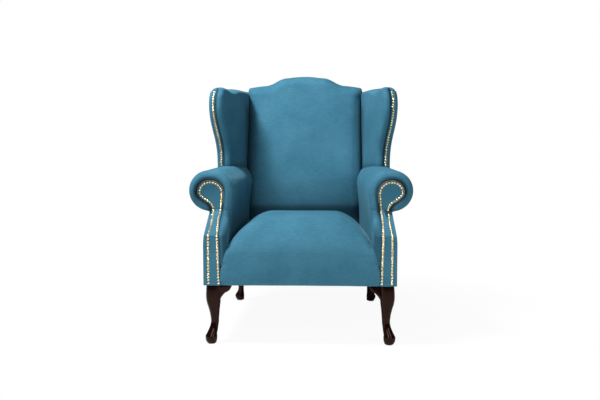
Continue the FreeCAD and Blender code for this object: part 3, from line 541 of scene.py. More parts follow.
@dataclass(frozen=True)
class Brass:
    """Lacquered brass of the nail heads, a little uneven from nail to nail."""

    name: str = "brass_nail"
    bright: tuple = (0.86, 0.76, 0.48)
    dull: tuple = (0.5, 0.4, 0.2)

    def build(self) -> bpy.types.Material:
        """Makes the material: metal whose tint and gloss vary in small patches.

        Returns:
            The material.
        """
        nodes = Nodes(self.name)
        patch = nodes.noise(85.0, 3.0)
        colour = nodes.ramp(patch, [(0.35, self.dull), (0.62, self.bright)])
        return nodes.surface(colour, nodes.maths("MULTIPLY_ADD", patch, 0.12, 0.16), Metallic=1.0)


@dataclass(frozen=True)
class SawnWood:
    """Plain beech of the hidden frame."""

    name: str
    grain: Grain
    pale: tuple = (0.56, 0.4, 0.24)
    dark: tuple = (0.38, 0.24, 0.13)

    def build(self) -> bpy.types.Material:
        """Makes the material: fine grain drawn out along one axis, with flecks.

        Returns:
            The material.
        """
        nodes = Nodes(self.name)
        scale = [1.0, 1.0, 1.0]
        scale[self.grain.value] = 0.06
        lines = nodes.noise(120.0, 8.0, 0.65, drawn=tuple(scale))
        flecks = nodes.noise(900.0, 2.0, drawn=tuple(scale))
        mixed = nodes.maths("MULTIPLY_ADD", flecks, 0.35, nodes.maths("MULTIPLY", lines, 0.75))
        colour = nodes.ramp(mixed, [(0.38, self.dark), (0.66, self.pale)])
        return nodes.surface(colour, 0.62, (lines, 0.15, 0.0008))


@dataclass(frozen=True)
class Steel:
    """Drawn wire and zinc-plated fittings."""

    name: str = "drawn_steel"
    colour: tuple = (0.55, 0.56, 0.58)

    def build(self) -> bpy.types.Material:
        """Makes the material: grey metal with fine drawing marks.

        Returns:
            The material.
        """
        nodes = Nodes(self.name)
        marks = nodes.noise(420.0, 4.0)
        tint = nodes.ramp(marks, [(0.3, tuple(c * 0.75 for c in self.colour)), (0.7, self.colour)])
        return nodes.surface(tint, nodes.maths("MULTIPLY_ADD", marks, 0.25, 0.25), Metallic=1.0)


@dataclass(frozen=True)
class WovenCloth:
    """Plain woven cloth: over and under threads by two crossed waves."""

    name: str
    thread: tuple
    gap: tuple
    pitch: float

    def build(self) -> bpy.types.Material:
        """Makes the material from two sets of threads at the real pitch.

        Returns:
            The material.
        """
        nodes = Nodes(self.name)
        split = nodes.add("SeparateXYZ", Vector=nodes.spot)
        turns = 2 * math.pi / self.pitch
        across = nodes.maths("SINE", nodes.maths("MULTIPLY", split.outputs[0], turns))
        depth = nodes.maths("ADD", split.outputs[1], split.outputs[2])
        along = nodes.maths("SINE", nodes.maths("MULTIPLY", depth, turns))
        weave = nodes.maths("MULTIPLY_ADD", nodes.maths("MULTIPLY", across, along), 0.5, 0.5)
        fuzz = nodes.maths("MULTIPLY", nodes.noise(600.0, 3.0), 0.4)
        mixed = nodes.maths("MULTIPLY_ADD", weave, 0.6, fuzz)
        colour = nodes.ramp(mixed, [(0.25, self.gap), (0.75, self.thread)])
        return nodes.surface(colour, 0.9, (weave, 0.4, 0.0006))


def store_painted_shade(piece: bpy.types.Object, depth: np.ndarray) -> None:
    """Stores the painted shade of each point, 0 to 1, for the velvet to darken by, where creases, valleys and
    shadows fall.

    Args:
        piece: The velvet piece.
        depth: The painted shade, one number for each point.
    """
    # The point attribute that carries the painted shade.
    piece.data.attributes.new("painted_shade", "FLOAT", "POINT")
    piece.data.attributes["painted_shade"].data.foreach_set("value", np.clip(depth, 0, 1).astype(np.float32))


def chair_points(piece: bpy.types.Object) -> np.ndarray:
    """The piece's points in millimetres as (across, behind, up)."""
    spots = points_of(piece.data) * METRE
    spots[:, 1] -= FRONT_PLANE
    return spots


def dress(piece: bpy.types.Object, finish: bpy.types.Material) -> None:
    """Gives a piece one material in place of what it had."""
    piece.data.materials.clear()
    piece.data.materials.append(finish)


# Shapes that pieces share


@dataclass(frozen=True)
class Form:
    """Sizes of the whole chair that more than one piece follows, in millimetres."""

    body_bottom: float = 225.0
    hem: float = 222.3
    height: float = 1045.0
    rake: float = 107.0 / 774.0
    back_foot: float = 745.0
    panel: float = 3.0
    face_foot: float = 566.0
    face_level: float = 440.0
    face_run: float = 150.0
    face_rise: float = 553.0
    side_front: float = 359.0
    rear_top: float = 980.0
    rear_top_half: float = 298.0
    taper: float = math.radians(2.5)
    pivot: float = 324.5
    arm_setback: float = 85.0
    kink: float = 412.0
    lean_top: float = 500.0

    def outside_back(self, z: np.ndarray) -> np.ndarray:
        """Depth of the outside back at a height: a straight rake from its foot."""
        return self.back_foot + (z - self.body_bottom) * self.rake

    def inside_back(self, z: np.ndarray) -> np.ndarray:
        """Depth of the leaning face of the back at a height."""
        return self.face_foot + self.face_run * (z - self.face_level) / self.face_rise

    def lean(self, z: np.ndarray) -> np.ndarray:
        """Depth of the arm facing at a height: forward below the kink, back above the lean."""
        return self.arm_setback * np.clip((z - self.kink) / (self.lean_top - self.kink), 0.0, 1.0)

    def rear_half(self, z: np.ndarray) -> np.ndarray:
        """Half the width of the outside back at a height."""
        low = self.side_front - self.back_foot * math.tan(self.taper)
        return low + (self.rear_top_half - low) * (z - self.body_bottom) / (self.rear_top - self.body_bottom)

    def turned(self, points: np.ndarray) -> np.ndarray:
        """An arm point turned about its front so that the arm runs inwards to the back."""
        x = points[..., 0] - self.pivot
        b = points[..., 1]
        cos, sin = math.cos(self.taper), math.sin(self.taper)
        return np.stack([self.pivot + x * cos - b * sin, x * sin + b * cos, points[..., 2]], -1)

    def unturned_depth(self, x: np.ndarray, behind: np.ndarray) -> np.ndarray:
        """Depth in the unturned arm that lands at this depth once turned."""
        return (behind - (x - self.pivot) * math.sin(self.taper)) / math.cos(self.taper)


FORM = Form()


@dataclass
class Finishes:
    """Every material, made once."""

    velvet: bpy.types.Material = field(default_factory=Velvet().build)
    leg: bpy.types.Material = field(default_factory=PolishedWood().build)
    brass: bpy.types.Material = field(default_factory=Brass().build)
    steel: bpy.types.Material = field(default_factory=Steel().build)
    upright: bpy.types.Material = field(default_factory=SawnWood("beech_upright", Grain.UPRIGHT).build)
    across: bpy.types.Material = field(default_factory=SawnWood("beech_across", Grain.ACROSS).build)
    depth: bpy.types.Material = field(default_factory=SawnWood("beech_depth", Grain.DEPTH).build)
    jute: bpy.types.Material = field(
        default_factory=WovenCloth("jute_webbing", (0.5, 0.38, 0.22), (0.2, 0.13, 0.07), 0.004).build)
    black: bpy.types.Material = field(
        default_factory=WovenCloth("black_lining", (0.03, 0.03, 0.032), (0.006, 0.006, 0.006), 0.0016).build)
    hessian: bpy.types.Material = field(
        default_factory=WovenCloth("deck_hessian", (0.42, 0.34, 0.22), (0.16, 0.11, 0.06), 0.0025).build)


# Padded pieces


@dataclass(frozen=True)
class Settling:
    """A short cloth run that fills a padded mesh, so its cover pulls and gives as cloth does."""

    voxel: float = 0.008
    pressure: float = 4.0
    slack: float = -0.012
    cap: float = 0.005
    frames: int = 12
    quality: int = 5
    mass: float = 0.4
    stiffness: float = 12.0
    shear: float = 6.0
    bending: float = 0.4
    damping: float = 2.0

    def run(self, made: bpy.types.Object) -> None:
        """Remeshes the piece evenly, inflates it as cloth and keeps the result.

        Every point moves by its cloth movement times cap / (cap + length of movement),
        so that none goes further than the cap.

        Args:
            made: The padded piece.
        """
        remesh = made.modifiers.new("even", "REMESH")
        remesh.mode = "VOXEL"
        remesh.voxel_size = self.voxel
        remesh.use_smooth_shade = True
        self.keep(made)
        start = points_of(made.data)
        cloth = made.modifiers.new("cloth", "CLOTH")
        cloth.settings.quality = self.quality
        cloth.settings.mass = self.mass
        cloth.settings.tension_stiffness = self.stiffness
        cloth.settings.compression_stiffness = self.stiffness
        cloth.settings.shear_stiffness = self.shear
        cloth.settings.bending_stiffness = self.bending
        cloth.settings.air_damping = self.damping
        cloth.settings.use_pressure = True
        cloth.settings.uniform_pressure_force = self.pressure
        cloth.settings.shrink_min = self.slack
        cloth.settings.effector_weights.gravity = 0.0
        cloth.point_cache.frame_start = 1
        cloth.point_cache.frame_end = self.frames
        scene = bpy.context.scene
        for number in range(1, self.frames + 1):
            scene.frame_set(number)
        moved = points_of(made.evaluated_get(bpy.context.evaluated_depsgraph_get()).data)
        made.modifiers.remove(cloth)
        scene.frame_set(1)
        step = moved - start
        far = np.linalg.norm(step, axis=1, keepdims=True)
        step = step * self.cap / (self.cap + far)
        made.data.vertices.foreach_set("co", (start + step).ravel())
        smoothed = made.modifiers.new("round", "SUBSURF")
        smoothed.levels = smoothed.render_levels = 1
        self.keep(made)
        gone = METRE * np.linalg.norm(step, axis=1)
        LOG.info("%s settled: mean %.1f mm, most %.1f mm", made.name, gone.mean(), gone.max())

    def keep(self, made: bpy.types.Object) -> None:
        """Writes the evaluated mesh into the piece and drops its modifiers.

        Args:
            made: The piece.
        """
        finishes = list(made.data.materials)
        graph = bpy.context.evaluated_depsgraph_get()
        mesh = bpy.data.meshes.new_from_object(made.evaluated_get(graph))
        made.modifiers.clear()
        made.data = mesh
        mesh.materials.clear()
        for finish in finishes:
            mesh.materials.append(finish)
        mesh.polygons.foreach_set("use_smooth", np.ones(len(mesh.polygons), bool))


def points_of(mesh: bpy.types.Mesh) -> np.ndarray:
    """The mesh's points as an (n, 3) array."""
    flat = np.empty(len(mesh.vertices) * 3)
    mesh.vertices.foreach_get("co", flat)
    return flat.reshape(-1, 3)


@dataclass
class Seat:
    """The crowned seat, whose cover runs down over the front rail."""

    crown: float = 467.0
    flat_half: float = 135.0
    side_fall: float = 0.0055
    half: float = 296.0
    crowding: float = 0.92
    columns: int = 121
    front_round: float = 335.0
    least_round: float = 24.0
    front_bow: float = 3.0
    bulge: float = 8.0
    bulge_half: float = 302.5
    rear_level: float = 350.0
    tuck: float = 60.0
    back_drop: float = 28.0
    underside: float = 300.0
    lip: float = 24.0
    # Where the painted shade of the arm and back creases lies.
    side_crease: float = 272.0
    crease_width: float = 14.0
    crease_foot: float = 385.0
    rear_crease: float = 535.0

    def height(self, x: np.ndarray) -> np.ndarray:
        """Crown height across: level in the middle, then falling by the square of the way out."""
        return self.crown - self.side_fall * np.maximum(np.abs(x) - self.flat_half, 0.0) ** 2

    def rings(self) -> np.ndarray:
        """Closed front-to-back sections: up the front, round, over the crown, down and under.

        Returns:
            (columns, around, 3) array in millimetres.
        """
        x = crowded(self.half, self.columns, self.crowding)
        top = self.height(x)[:, None]
        start = np.minimum(self.front_round, top - self.least_round)
        radius = top - start
        front = -self.bulge * (1 - (x / self.bulge_half) ** 2)[:, None]
        rear = FORM.inside_back(self.rear_level) + self.tuck
        rise, turn, share = steps(22, skip=0), steps(34, end=QUARTER), steps(60)
        crown = top + 0.6 * np.sin(share * math.pi) - self.back_drop * share**2.4
        low = self.underside
        across, behind, up = sections(
            x,
            (front - self.front_bow * np.sin(rise * math.pi), FORM.hem + (start - FORM.hem) * rise),
            (front + radius * (1 - np.cos(turn)), start + radius * np.sin(turn)),
            (front + radius + (rear - front - radius) * share, crown),
            (rear, top - self.back_drop + (low - top + self.back_drop) * steps(8)),
            (rear + (self.lip - rear) * steps(16), low),
            (self.lip, low + (FORM.hem - low) * steps(7)),
        )
        wave = ripple(across / 60, behind / 70, seed=1.3) * smooth((up - 250) / 80)
        return np.stack([across, behind - 0.5 * wave, up + wave], -1)

    def shade(self, piece: bpy.types.Object) -> None:
        """Paints shade into the creases at the arms and the back.

        Args:
            piece: The finished piece.
        """
        x, behind, up = chair_points(piece).T
        # Painted shade along both arm creases, rising towards the crease at the back.
        sides = bell(np.abs(x) - self.side_crease, self.crease_width) * (up > self.crease_foot)
        store_painted_shade(piece, 0.85 * np.maximum(sides, smooth((behind - self.rear_crease) / 40.0)))

    def build(self, finishes: Finishes) -> None:
        """Args:
            finishes: The materials of the chair.
        """
        made = make_piece("seat", self.rings(), finishes.velvet)
        Settling().run(made)
        self.shade(made)
        declare(made, "velvet", "seat_pad", "seat_cover", fill=0.85)


@dataclass
class InsideBack:
    """The leaning padded back with its humped, rolled top."""

    plateau: float = 80.0
    foot: float = 182.0
    shoulder: float = 993.0
    hump_fall: float = 6.0
    shoulder_fall: float = 10.0
    half: float = 260.0
    crowding: float = 0.95
    columns: int = 131
    edge: float = 40.0
    roll: float = 46.0
    fall: float = 12.0
    low: float = 350.0
    crown: float = 10.0
    swell: float = 6.0
    swell_foot: float = 430.0
    swell_height: float = 520.0
    tuck: float = 26.0
    tuck_top: float = 505.0
    tuck_run: float = 110.0
    # Places and widths of the painted shade at the edges and foot, and of the wing's painted shadow.
    right_edge: float = 243.0
    right_run: float = 14.0
    shadow_edge: float = 196.0
    shadow_run: float = 55.0
    edge_top: float = 960.0
    low_top: float = 640.0
    low_run: float = 165.0

    def crest(self, x: np.ndarray) -> np.ndarray:
        """Height of the top: crowned hump, an S down to the shoulders, then a slow fall."""
        out = np.abs(x)
        reach = smooth((out - self.plateau) / (self.foot - self.plateau))
        hump = FORM.height - self.hump_fall * np.minimum(out / self.plateau, 1.0) ** 2
        shoulder = self.shoulder + self.shoulder_fall * np.clip(1 - (out - self.foot) / 80, 0, 1)
        return hump - (hump - shoulder) * reach

    def face(self, z: np.ndarray, drawn: np.ndarray) -> np.ndarray:
        """Depth of the padded face at a height: lean, less the swell, more the tuck under the seat.

        Args:
            z: Heights.
            drawn: How far the edges are drawn back at each place across.

        Returns:
            The depths.
        """
        swell = self.swell * np.sin(math.pi * np.clip((z - self.swell_foot) / self.swell_height, 0, 1))
        tuck = self.tuck * smooth((self.tuck_top - z) / self.tuck_run) ** 1.3
        return FORM.inside_back(z) + drawn - swell + tuck

    def rings(self) -> np.ndarray:
        """Closed sections from side to side: up the face, over the top and down the rear.

        Returns:
            (columns, around, 3) array in millimetres.
        """
        x = crowded(self.half, self.columns, self.crowding)
        top = self.crest(x)[:, None]
        edge = np.clip((np.abs(x) - (self.half + 2 - self.edge)) / self.edge, 0, 1)
        crown = self.crown * (1 - (x / self.half) ** 2)
        drawn = (self.edge * (1 - np.sqrt(np.maximum(1 - edge**2, 0))) - crown)[:, None]
        bend = top - self.roll
        front = self.face(bend, drawn)
        rear = FORM.outside_back(bend) - FORM.panel
        rear_round = self.roll - self.fall
        foot = FORM.outside_back(self.low) - FORM.panel
        face_z = self.low + (bend - self.low) * steps(90, skip=0)
        face_b = self.face(face_z, drawn)
        turn, share, back_turn = steps(16, end=QUARTER), steps(7), steps(10, QUARTER, 0.0)
        down_z = bend + (self.low - top + self.roll) * steps(14)
        across, behind, up = sections(
            x,
            (face_b, face_z),
            (front + self.roll * (1 - np.cos(turn)), bend + self.roll * np.sin(turn)),
            (front + self.roll + (rear - rear_round - front - self.roll) * share, top - self.fall * share),
            (rear - rear_round + rear_round * np.cos(back_turn), bend + rear_round * np.sin(back_turn)),
            (FORM.outside_back(down_z) - FORM.panel, down_z),
            (foot + (face_b[:, :1] - foot) * steps(6)[:, :-1], self.low),
        )
        wave = ripple(across / 75, up / 95, seed=4.2)
        shown = (behind < FORM.inside_back(up) + 60) * smooth((up - 430) / 60)
        return np.stack([across, behind + 0.9 * wave * shown, up], -1)

    def shade(self, piece: bpy.types.Object) -> None:
        """Paints shade at the foot and both edges. The left edge has a wide band of painted shadow for the
        wing's shadow there.

        Args:
            piece: The finished piece.
        """
        x, behind, up = chair_points(piece).T
        # Painted shade at the right edge, and the wing's painted shadow down the left edge.
        right = smooth((x - self.right_edge) / self.right_run)
        left = 0.85 * smooth((-x - self.shadow_edge) / self.shadow_run) * smooth((1010.0 - up) / 200.0)
        edge = np.maximum(right, left) * smooth((self.edge_top - up) / 30.0)
        # Painted shade at the tuck by the seat, fading up the lower back.
        tuck_shade = smooth((self.tuck_top - up) / 50.0)
        low = np.maximum(tuck_shade, 0.5 * smooth((self.low_top - up) / self.low_run))
        front = behind < FORM.inside_back(up) + 40
        store_painted_shade(piece, 0.9 * np.maximum(edge, 0.85 * low) * front)

    def build(self, finishes: Finishes) -> None:
        """Args:
            finishes: The materials of the chair.
        """
        made = make_piece("inside_back", self.rings(), finishes.velvet)
        Settling().run(made)
        self.shade(made)
        declare(made, "velvet", "back_pad", "back_cover", fill=0.9)


@dataclass
class RolledArm:
    """A padded arm: a roll with a bullnose ring round its facing, and a crowned inside."""

    side: Side
    radius: float = 77.0
    roll_height: float = 572.0
    roll_x: float = 352.19
    shoulder_run: float = 34.0
    bulge_z: float = 556.0
    bulge_x: float = 260.0
    waist_x: float = 270.0
    waist_z: float = 345.0
    elbow: float = 468.0
    neck_inset: float = 8.0
    neck_gap: float = 6.0
    inner_x: float = 337.0
    ring_stand: float = 15.0
    low_stand: float = -1.5
    painted_valley_shade_depth: float = 5.0
    crest_at: float = 0.42
    nose: float = 26.0
    low_round: float = 42.0
    margin: float = 6.2
    bottom: float = 300.0
    pleat_ring: int = 33
    pleat_rings: float = 5.0
    pleat_waves: float = 150.0
    pleat_height: float = 0.8

    def facing_line(self) -> np.ndarray:
        """The nail line from the outside neck round the scroll and down the inside.

        Arcs and lines as the facing is cut, grown outwards by the cloth margin.

        Returns:
            (points, 2) array of (x, z), the same count as the outer line.
        """
        line_points = chain(
            arc((335, 484), (336.5, 508), (347, 525), 9),
            line((347, 525), (378, 547), 9),
            arc((378, 547), (386.5, 556), (389, 567), 7),
            arc((389, 567), (376.4, 593.4), (346, 604), 22),
            arc((346, 604), (315.6, 591.4), (303, 561), 25),
            arc((303, 561), (306, 521), (311, self.elbow), 22),
            line((311, self.elbow), (308, FORM.kink), 15),
            line((308, FORM.kink), (304.7, self.bottom), 20),
        )
        ahead = np.gradient(line_points, axis=0)
        normal = np.stack([ahead[:, 1], -ahead[:, 0]], 1)
        normal /= np.linalg.norm(normal, axis=1, keepdims=True)
        return line_points + normal * self.margin

    def on_roll(self, first: float, last: float, count: int) -> np.ndarray:
        """Points (x, z) on the roll's circle between two angles in degrees."""
        angle = np.radians(np.linspace(first, last, count))
        return np.stack(
            [self.roll_x + self.radius * np.cos(angle), self.roll_height + self.radius * np.sin(angle)], 1)

    def outer_line(self) -> np.ndarray:
        """The full section of the arm, run for run beside the facing line.

        Returns:
            (points, 2) array of (x, z).
        """
        shoulder = self.roll_x - self.shoulder_run
        top = self.roll_height + self.radius
        across = shoulder - self.bulge_x
        rise = top - self.bulge_z
        half = math.sqrt(0.5)
        bend = (shoulder - across * half, self.bulge_z + rise * half)
        bulge = (self.bulge_x, self.bulge_z)
        over = chain(line((self.roll_x, top), (shoulder, top), 8), arc((shoulder, top), bend, bulge, 18))
        inside = arc(bulge, (self.waist_x - 2, 470), (self.waist_x, self.waist_z), 60)
        high = inside[:, 1] >= self.elbow
        low = inside[:, 1] <= FORM.kink
        above, middle = inside[high], inside[~high & ~low]
        below = np.concatenate([inside[low], [[self.waist_x, self.bottom]]])
        neck = math.atan2(-math.sqrt(self.radius**2 - self.neck_inset**2), -self.neck_inset)
        return chain(
            self.on_roll(math.degrees(neck), -58, 9),
            self.on_roll(-58, -24, 9),
            self.on_roll(-24, -3, 7),
            self.on_roll(-3, 90, 22),
            even(over, 25),
            even(above, 22),
            even(np.concatenate([above[-1:], middle]), 15),
            even(np.concatenate([middle[-1:], below]), 20),
        )

    def bullnose(self, near: np.ndarray, far: np.ndarray) -> list:
        """Rings over the nose of the arm.

        Each point goes from the facing line F to the outer line O. The nose is a quarter
        ellipse from O forward to its crest, then a sine's quarter turn, to the power 1.2,
        down into the valley at F.

        Args:
            near: The facing line.
            far: The outer line.

        Returns:
            (around, 3) rings from F to O.
        """
        base = FORM.lean(near[:, 1])
        high = smooth((near[:, 1] - 470.0) / 40.0)
        stand = blend(self.low_stand, self.ring_stand, high)
        depth = blend(self.low_round, self.nose - self.ring_stand, high)
        rows = []
        for t in np.linspace(0, 1, 12)[:-1]:
            rows.append((self.crest_at * t, blend(self.painted_valley_shade_depth, -stand, math.sin(t * QUARTER) ** 1.2)))
        for angle in np.linspace(0, QUARTER, 16):
            share = self.crest_at + (1 - self.crest_at) * math.sin(angle)
            rows.append((share, -stand + (depth + stand) * (1 - math.cos(angle))))
        spots = [(blend(near, far, share), base + ahead) for share, ahead in rows]
        return [np.stack([spot[:, 0], behind, spot[:, 1]], 1) for spot, behind in spots]

    def underside(self, ring: np.ndarray) -> np.ndarray:
        """Points that close a ring: inwards below the arm and up to the neck.

        Args:
            ring: (around, 3) points from the neck to the foot of the inner face.

        Returns:
            (14, 3) points.
        """
        inner = np.array([self.inner_x, ring[-1, 1], self.bottom])
        up = np.array([self.inner_x, ring[0, 1], ring[0, 2] - self.neck_gap])
        return np.concatenate([line(ring[-1], inner, 6)[1:], line(inner, up, 10)[1:]])

    def rings(self) -> np.ndarray:
        """Closed rings from the facing's edge over the bullnose and back to the rear.

        Pleats and gentle waves lift the cloth straight out from the middle of the roll.

        Returns:
            (rings, around, 3) array in millimetres, unturned.
        """
        near, far = self.facing_line(), self.outer_line()
        count = len(near)
        run = self.bullnose(near, far)
        start = run[-1][:, 1]
        end = FORM.unturned_depth(far[:, 0], FORM.outside_back(far[:, 1]) - FORM.panel)
        run += [np.stack([far[:, 0], blend(start, end, t), far[:, 1]], 1) for t in np.linspace(0, 1, 92)[1:]]
        body = np.array([np.concatenate([ring, self.underside(ring)]) for ring in run])
        behind = body[..., 1]
        around = np.concatenate([np.arange(count) / (count - 1), np.zeros(body.shape[1] - count)])[None, :]
        fade = bell(np.arange(len(body)) - self.pleat_ring, self.pleat_rings)[:, None]
        pleat = fade * np.sin(around * self.pleat_waves) * smooth(around * 12) * smooth((0.62 - around) * 8)
        wave = ripple(behind / 55, around * 14, seed=2.0 + self.side.value)
        lift = (self.pleat_height * pleat + 0.9 * wave * smooth((behind - 90) / 60)) * (around > 0)
        out = body - np.array([self.roll_x, 0, self.roll_height])
        out[..., 1] = 0
        out /= np.linalg.norm(out, axis=-1, keepdims=True) + NEVER_ZERO
        return body + out * lift[..., None]

    def painted_valley_shade(self, spot: np.ndarray) -> np.ndarray:
        """How much shade is painted at each point: in the valley beside the nails, the corner and inside.

        The valley is a bell of the distance from the facing's line, 13 mm wide, on the front only and
        stronger above the kink. The corner is the front edge by the seat, and the inner face below the roll
        takes an even painted shade.

        Args:
            spot: Points as (across, behind, up).

        Returns:
            One number from 0 to 1 for each point.
        """
        flat = spot[:, [0, 2]] * np.array([self.side.value, 1.0])
        gap = np.linalg.norm(flat[:, None, :] - self.facing_line()[None, :, :], axis=2).min(1)
        out, (_, behind, up) = flat[:, 0], spot.T
        front = behind < FORM.lean(up) + 22
        # Painted shade: in the valley beside the nails, at the front corner by the seat, and on the lower
        # inner face.
        ring = bell(gap, 13.0) * front * blend(0.35, 0.95, smooth((up - 440) / 60))
        corner = 0.6 * smooth((470 - up) / 60) * bell(out - 281, 14) * front
        inner_shade = 0.28 * smooth((572 - up) / 130) * smooth((302 - out) / 14) * (behind > 60)
        return np.maximum(np.maximum(ring, corner), inner_shade)

    def build(self, finishes: Finishes) -> None:
        """Args:
            finishes: The materials of the chair.
        """
        name = f"{self.side.word}_arm"
        made = make_piece(name, FORM.turned(self.rings()), finishes.velvet, self.side)
        store_painted_shade(made, self.painted_valley_shade(chair_points(made)))
        declare(made, "velvet", f"{name}_pad", f"{name}_cover", fill=0.85)


@dataclass
class Wing:
    """A padded wing that flares and reaches forward as it rises."""

    side: Side
    foot: float = 606.0
    top: float = 962.0
    rise: float = 18.0
    roof_turn: float = 78.0
    flare_foot: float = 690.0
    flare: float = 24.0
    reach: float = 66.0
    land: float = 8.0
    band: float = 19.0
    gap: float = 0.4
    roll: float = 38.0
    crease: float = 256.0
    tuck: float = 24.0
    levels: int = 70
    blur: int = 6
    blur_reach: float = 7.0

    def tip(self, z: np.ndarray) -> np.ndarray:
        """Distance of the nail line from the middle at a height."""
        flare = self.flare * smooth((z - self.flare_foot) / 200)
        return 348.0 + flare - 12.0 * np.maximum((z - 910) / 70, 0) ** 2

    def front(self, z: np.ndarray) -> np.ndarray:
        """Depth of the front edge at a height."""
        reach = self.reach * smooth((z - self.flare_foot) / 215)
        return 452.0 - reach + 26.0 * np.maximum((z - 925) / 55, 0) ** 2

    def section(self, z: float) -> tuple:
        """One level section and the middle line that its top closes on.

        Args:
            z: Height of the section.

        Returns:
            (around, 2) points (x, behind) and their (around, 2) middle points.
        """
        tip, front = float(self.tip(z)), float(self.front(z))
        rear = float(FORM.outside_back(z)) - FORM.panel
        out_front = tip + self.band - FORM.panel - self.gap
        out_rear = float(FORM.rear_half(z)) - FORM.panel - self.gap
        roll = tip - self.land - self.roll
        inner = self.crease - self.tuck
        outer = line((out_rear, rear), (out_front, front + 24), 90)
        nose = chain(
            arc((out_front, front + 24), (out_front - 3, front + 7), (tip + self.land, front + 2), 6),
            line((tip + self.land, front + 2), (tip - 5, front + 1.5), 5),
            arc((tip - 5, front + 1.5), (tip - 26, front - 11), (roll, front + 14), 18),
        )
        swell = ((roll + self.crease) / 2 - 11, front + 128)
        ring = chain(
            outer,
            nose,
            arc((roll, front + 14), swell, (self.crease, rear - 120), 40),
            line((self.crease, rear - 120), (inner, rear - 30), 8),
            line((inner, rear - 30), (inner, rear), 4),
            line((inner, rear), (out_rear, rear), 10)[:-1],
        )
        joint = len(outer) + len(nose) - 1
        padded = np.pad(ring, ((self.blur, self.blur), (0, 0)), mode="wrap")
        soft = np.lib.stride_tricks.sliding_window_view(padded, 2 * self.blur + 1, axis=0).mean(-1)
        ring = blend(ring, soft, bell(np.arange(len(ring)) - joint, self.blur_reach)[:, None])
        axis_front = np.array([(out_front + roll) / 2 - 2, front + 34])
        axis_rear = np.array([(out_rear + self.crease) / 2, rear])
        reach = np.clip((ring[:, 1] - axis_front[1]) / (axis_rear[1] - axis_front[1]), 0, 1)
        return ring, blend(axis_front, axis_rear, reach[:, None])

    def rings(self) -> np.ndarray:
        """Level rings up the wing, then a roof that closes on the middle line.

        Returns:
            (rings, around, 3) array in millimetres.
        """
        stack = []
        for z in np.linspace(self.foot, self.top, self.levels):
            ring, _ = self.section(z)
            stack.append(np.column_stack([ring, np.full(len(ring), z)]))
        ring, middle = self.section(self.top)
        for turn in np.radians(np.linspace(0, self.roof_turn, 10))[1:]:
            flat = middle + (ring - middle) * math.cos(turn)
            stack.append(np.column_stack([flat, np.full(len(ring), self.top + self.rise * math.sin(turn))]))
        rings = np.array(stack)
        level = np.minimum(rings[..., 2], self.top)
        tip = self.tip(level)
        behind = rings[..., 1] - self.front(level)
        dip = 3.0 * bell(behind, 30) - 11.0 * bell(behind - 75, 42)
        dip *= smooth((tip - 2 - rings[..., 0]) / 26)
        rings[..., 2] += dip * smooth((rings[..., 2] - 890) / 75)
        tip = self.tip(np.minimum(rings[..., 2], self.top))
        wave = ripple(rings[..., 1] / 48, rings[..., 2] / 66, seed=0.7 - self.side.value)
        rings[..., 0] -= 1.1 * wave * ((rings[..., 0] < tip - 20) & (behind < 300))
        return rings

    def painted_groove_shade(self, spot: np.ndarray) -> np.ndarray:
        """How much shade is painted at each point: in the groove inside the nails, the rear crease and the
        foot.

        Args:
            spot: Points as (across, behind, up).

        Returns:
            One number from 0 to 1 for each point.
        """
        out, up = spot[:, 0] * self.side.value, spot[:, 2]
        level = np.minimum(up, self.top)
        behind = spot[:, 1] - self.front(level)
        # Painted shade in the groove inside the nails, in the rear crease by the back, and at the foot over
        # the arm.
        nails = 0.85 * bell(out - self.tip(level) + 11, 5.0) * (behind < 12)
        crease = 0.8 * smooth((behind - 125) / 60) * smooth((268 - out) / 16) * smooth((940 - up) / 60)
        return np.maximum(np.maximum(nails, crease), 0.5 * smooth((672 - up) / 30))

    def build(self, finishes: Finishes) -> None:
        """Args:
            finishes: The materials of the chair.
        """
        name = f"{self.side.word}_wing"
        made = make_piece(name, self.rings(), finishes.velvet, self.side)
        store_painted_shade(made, self.painted_groove_shade(chair_points(made)))
        declare(made, "velvet", f"{name}_pad", f"{name}_cover", fill=0.8)


# Legs


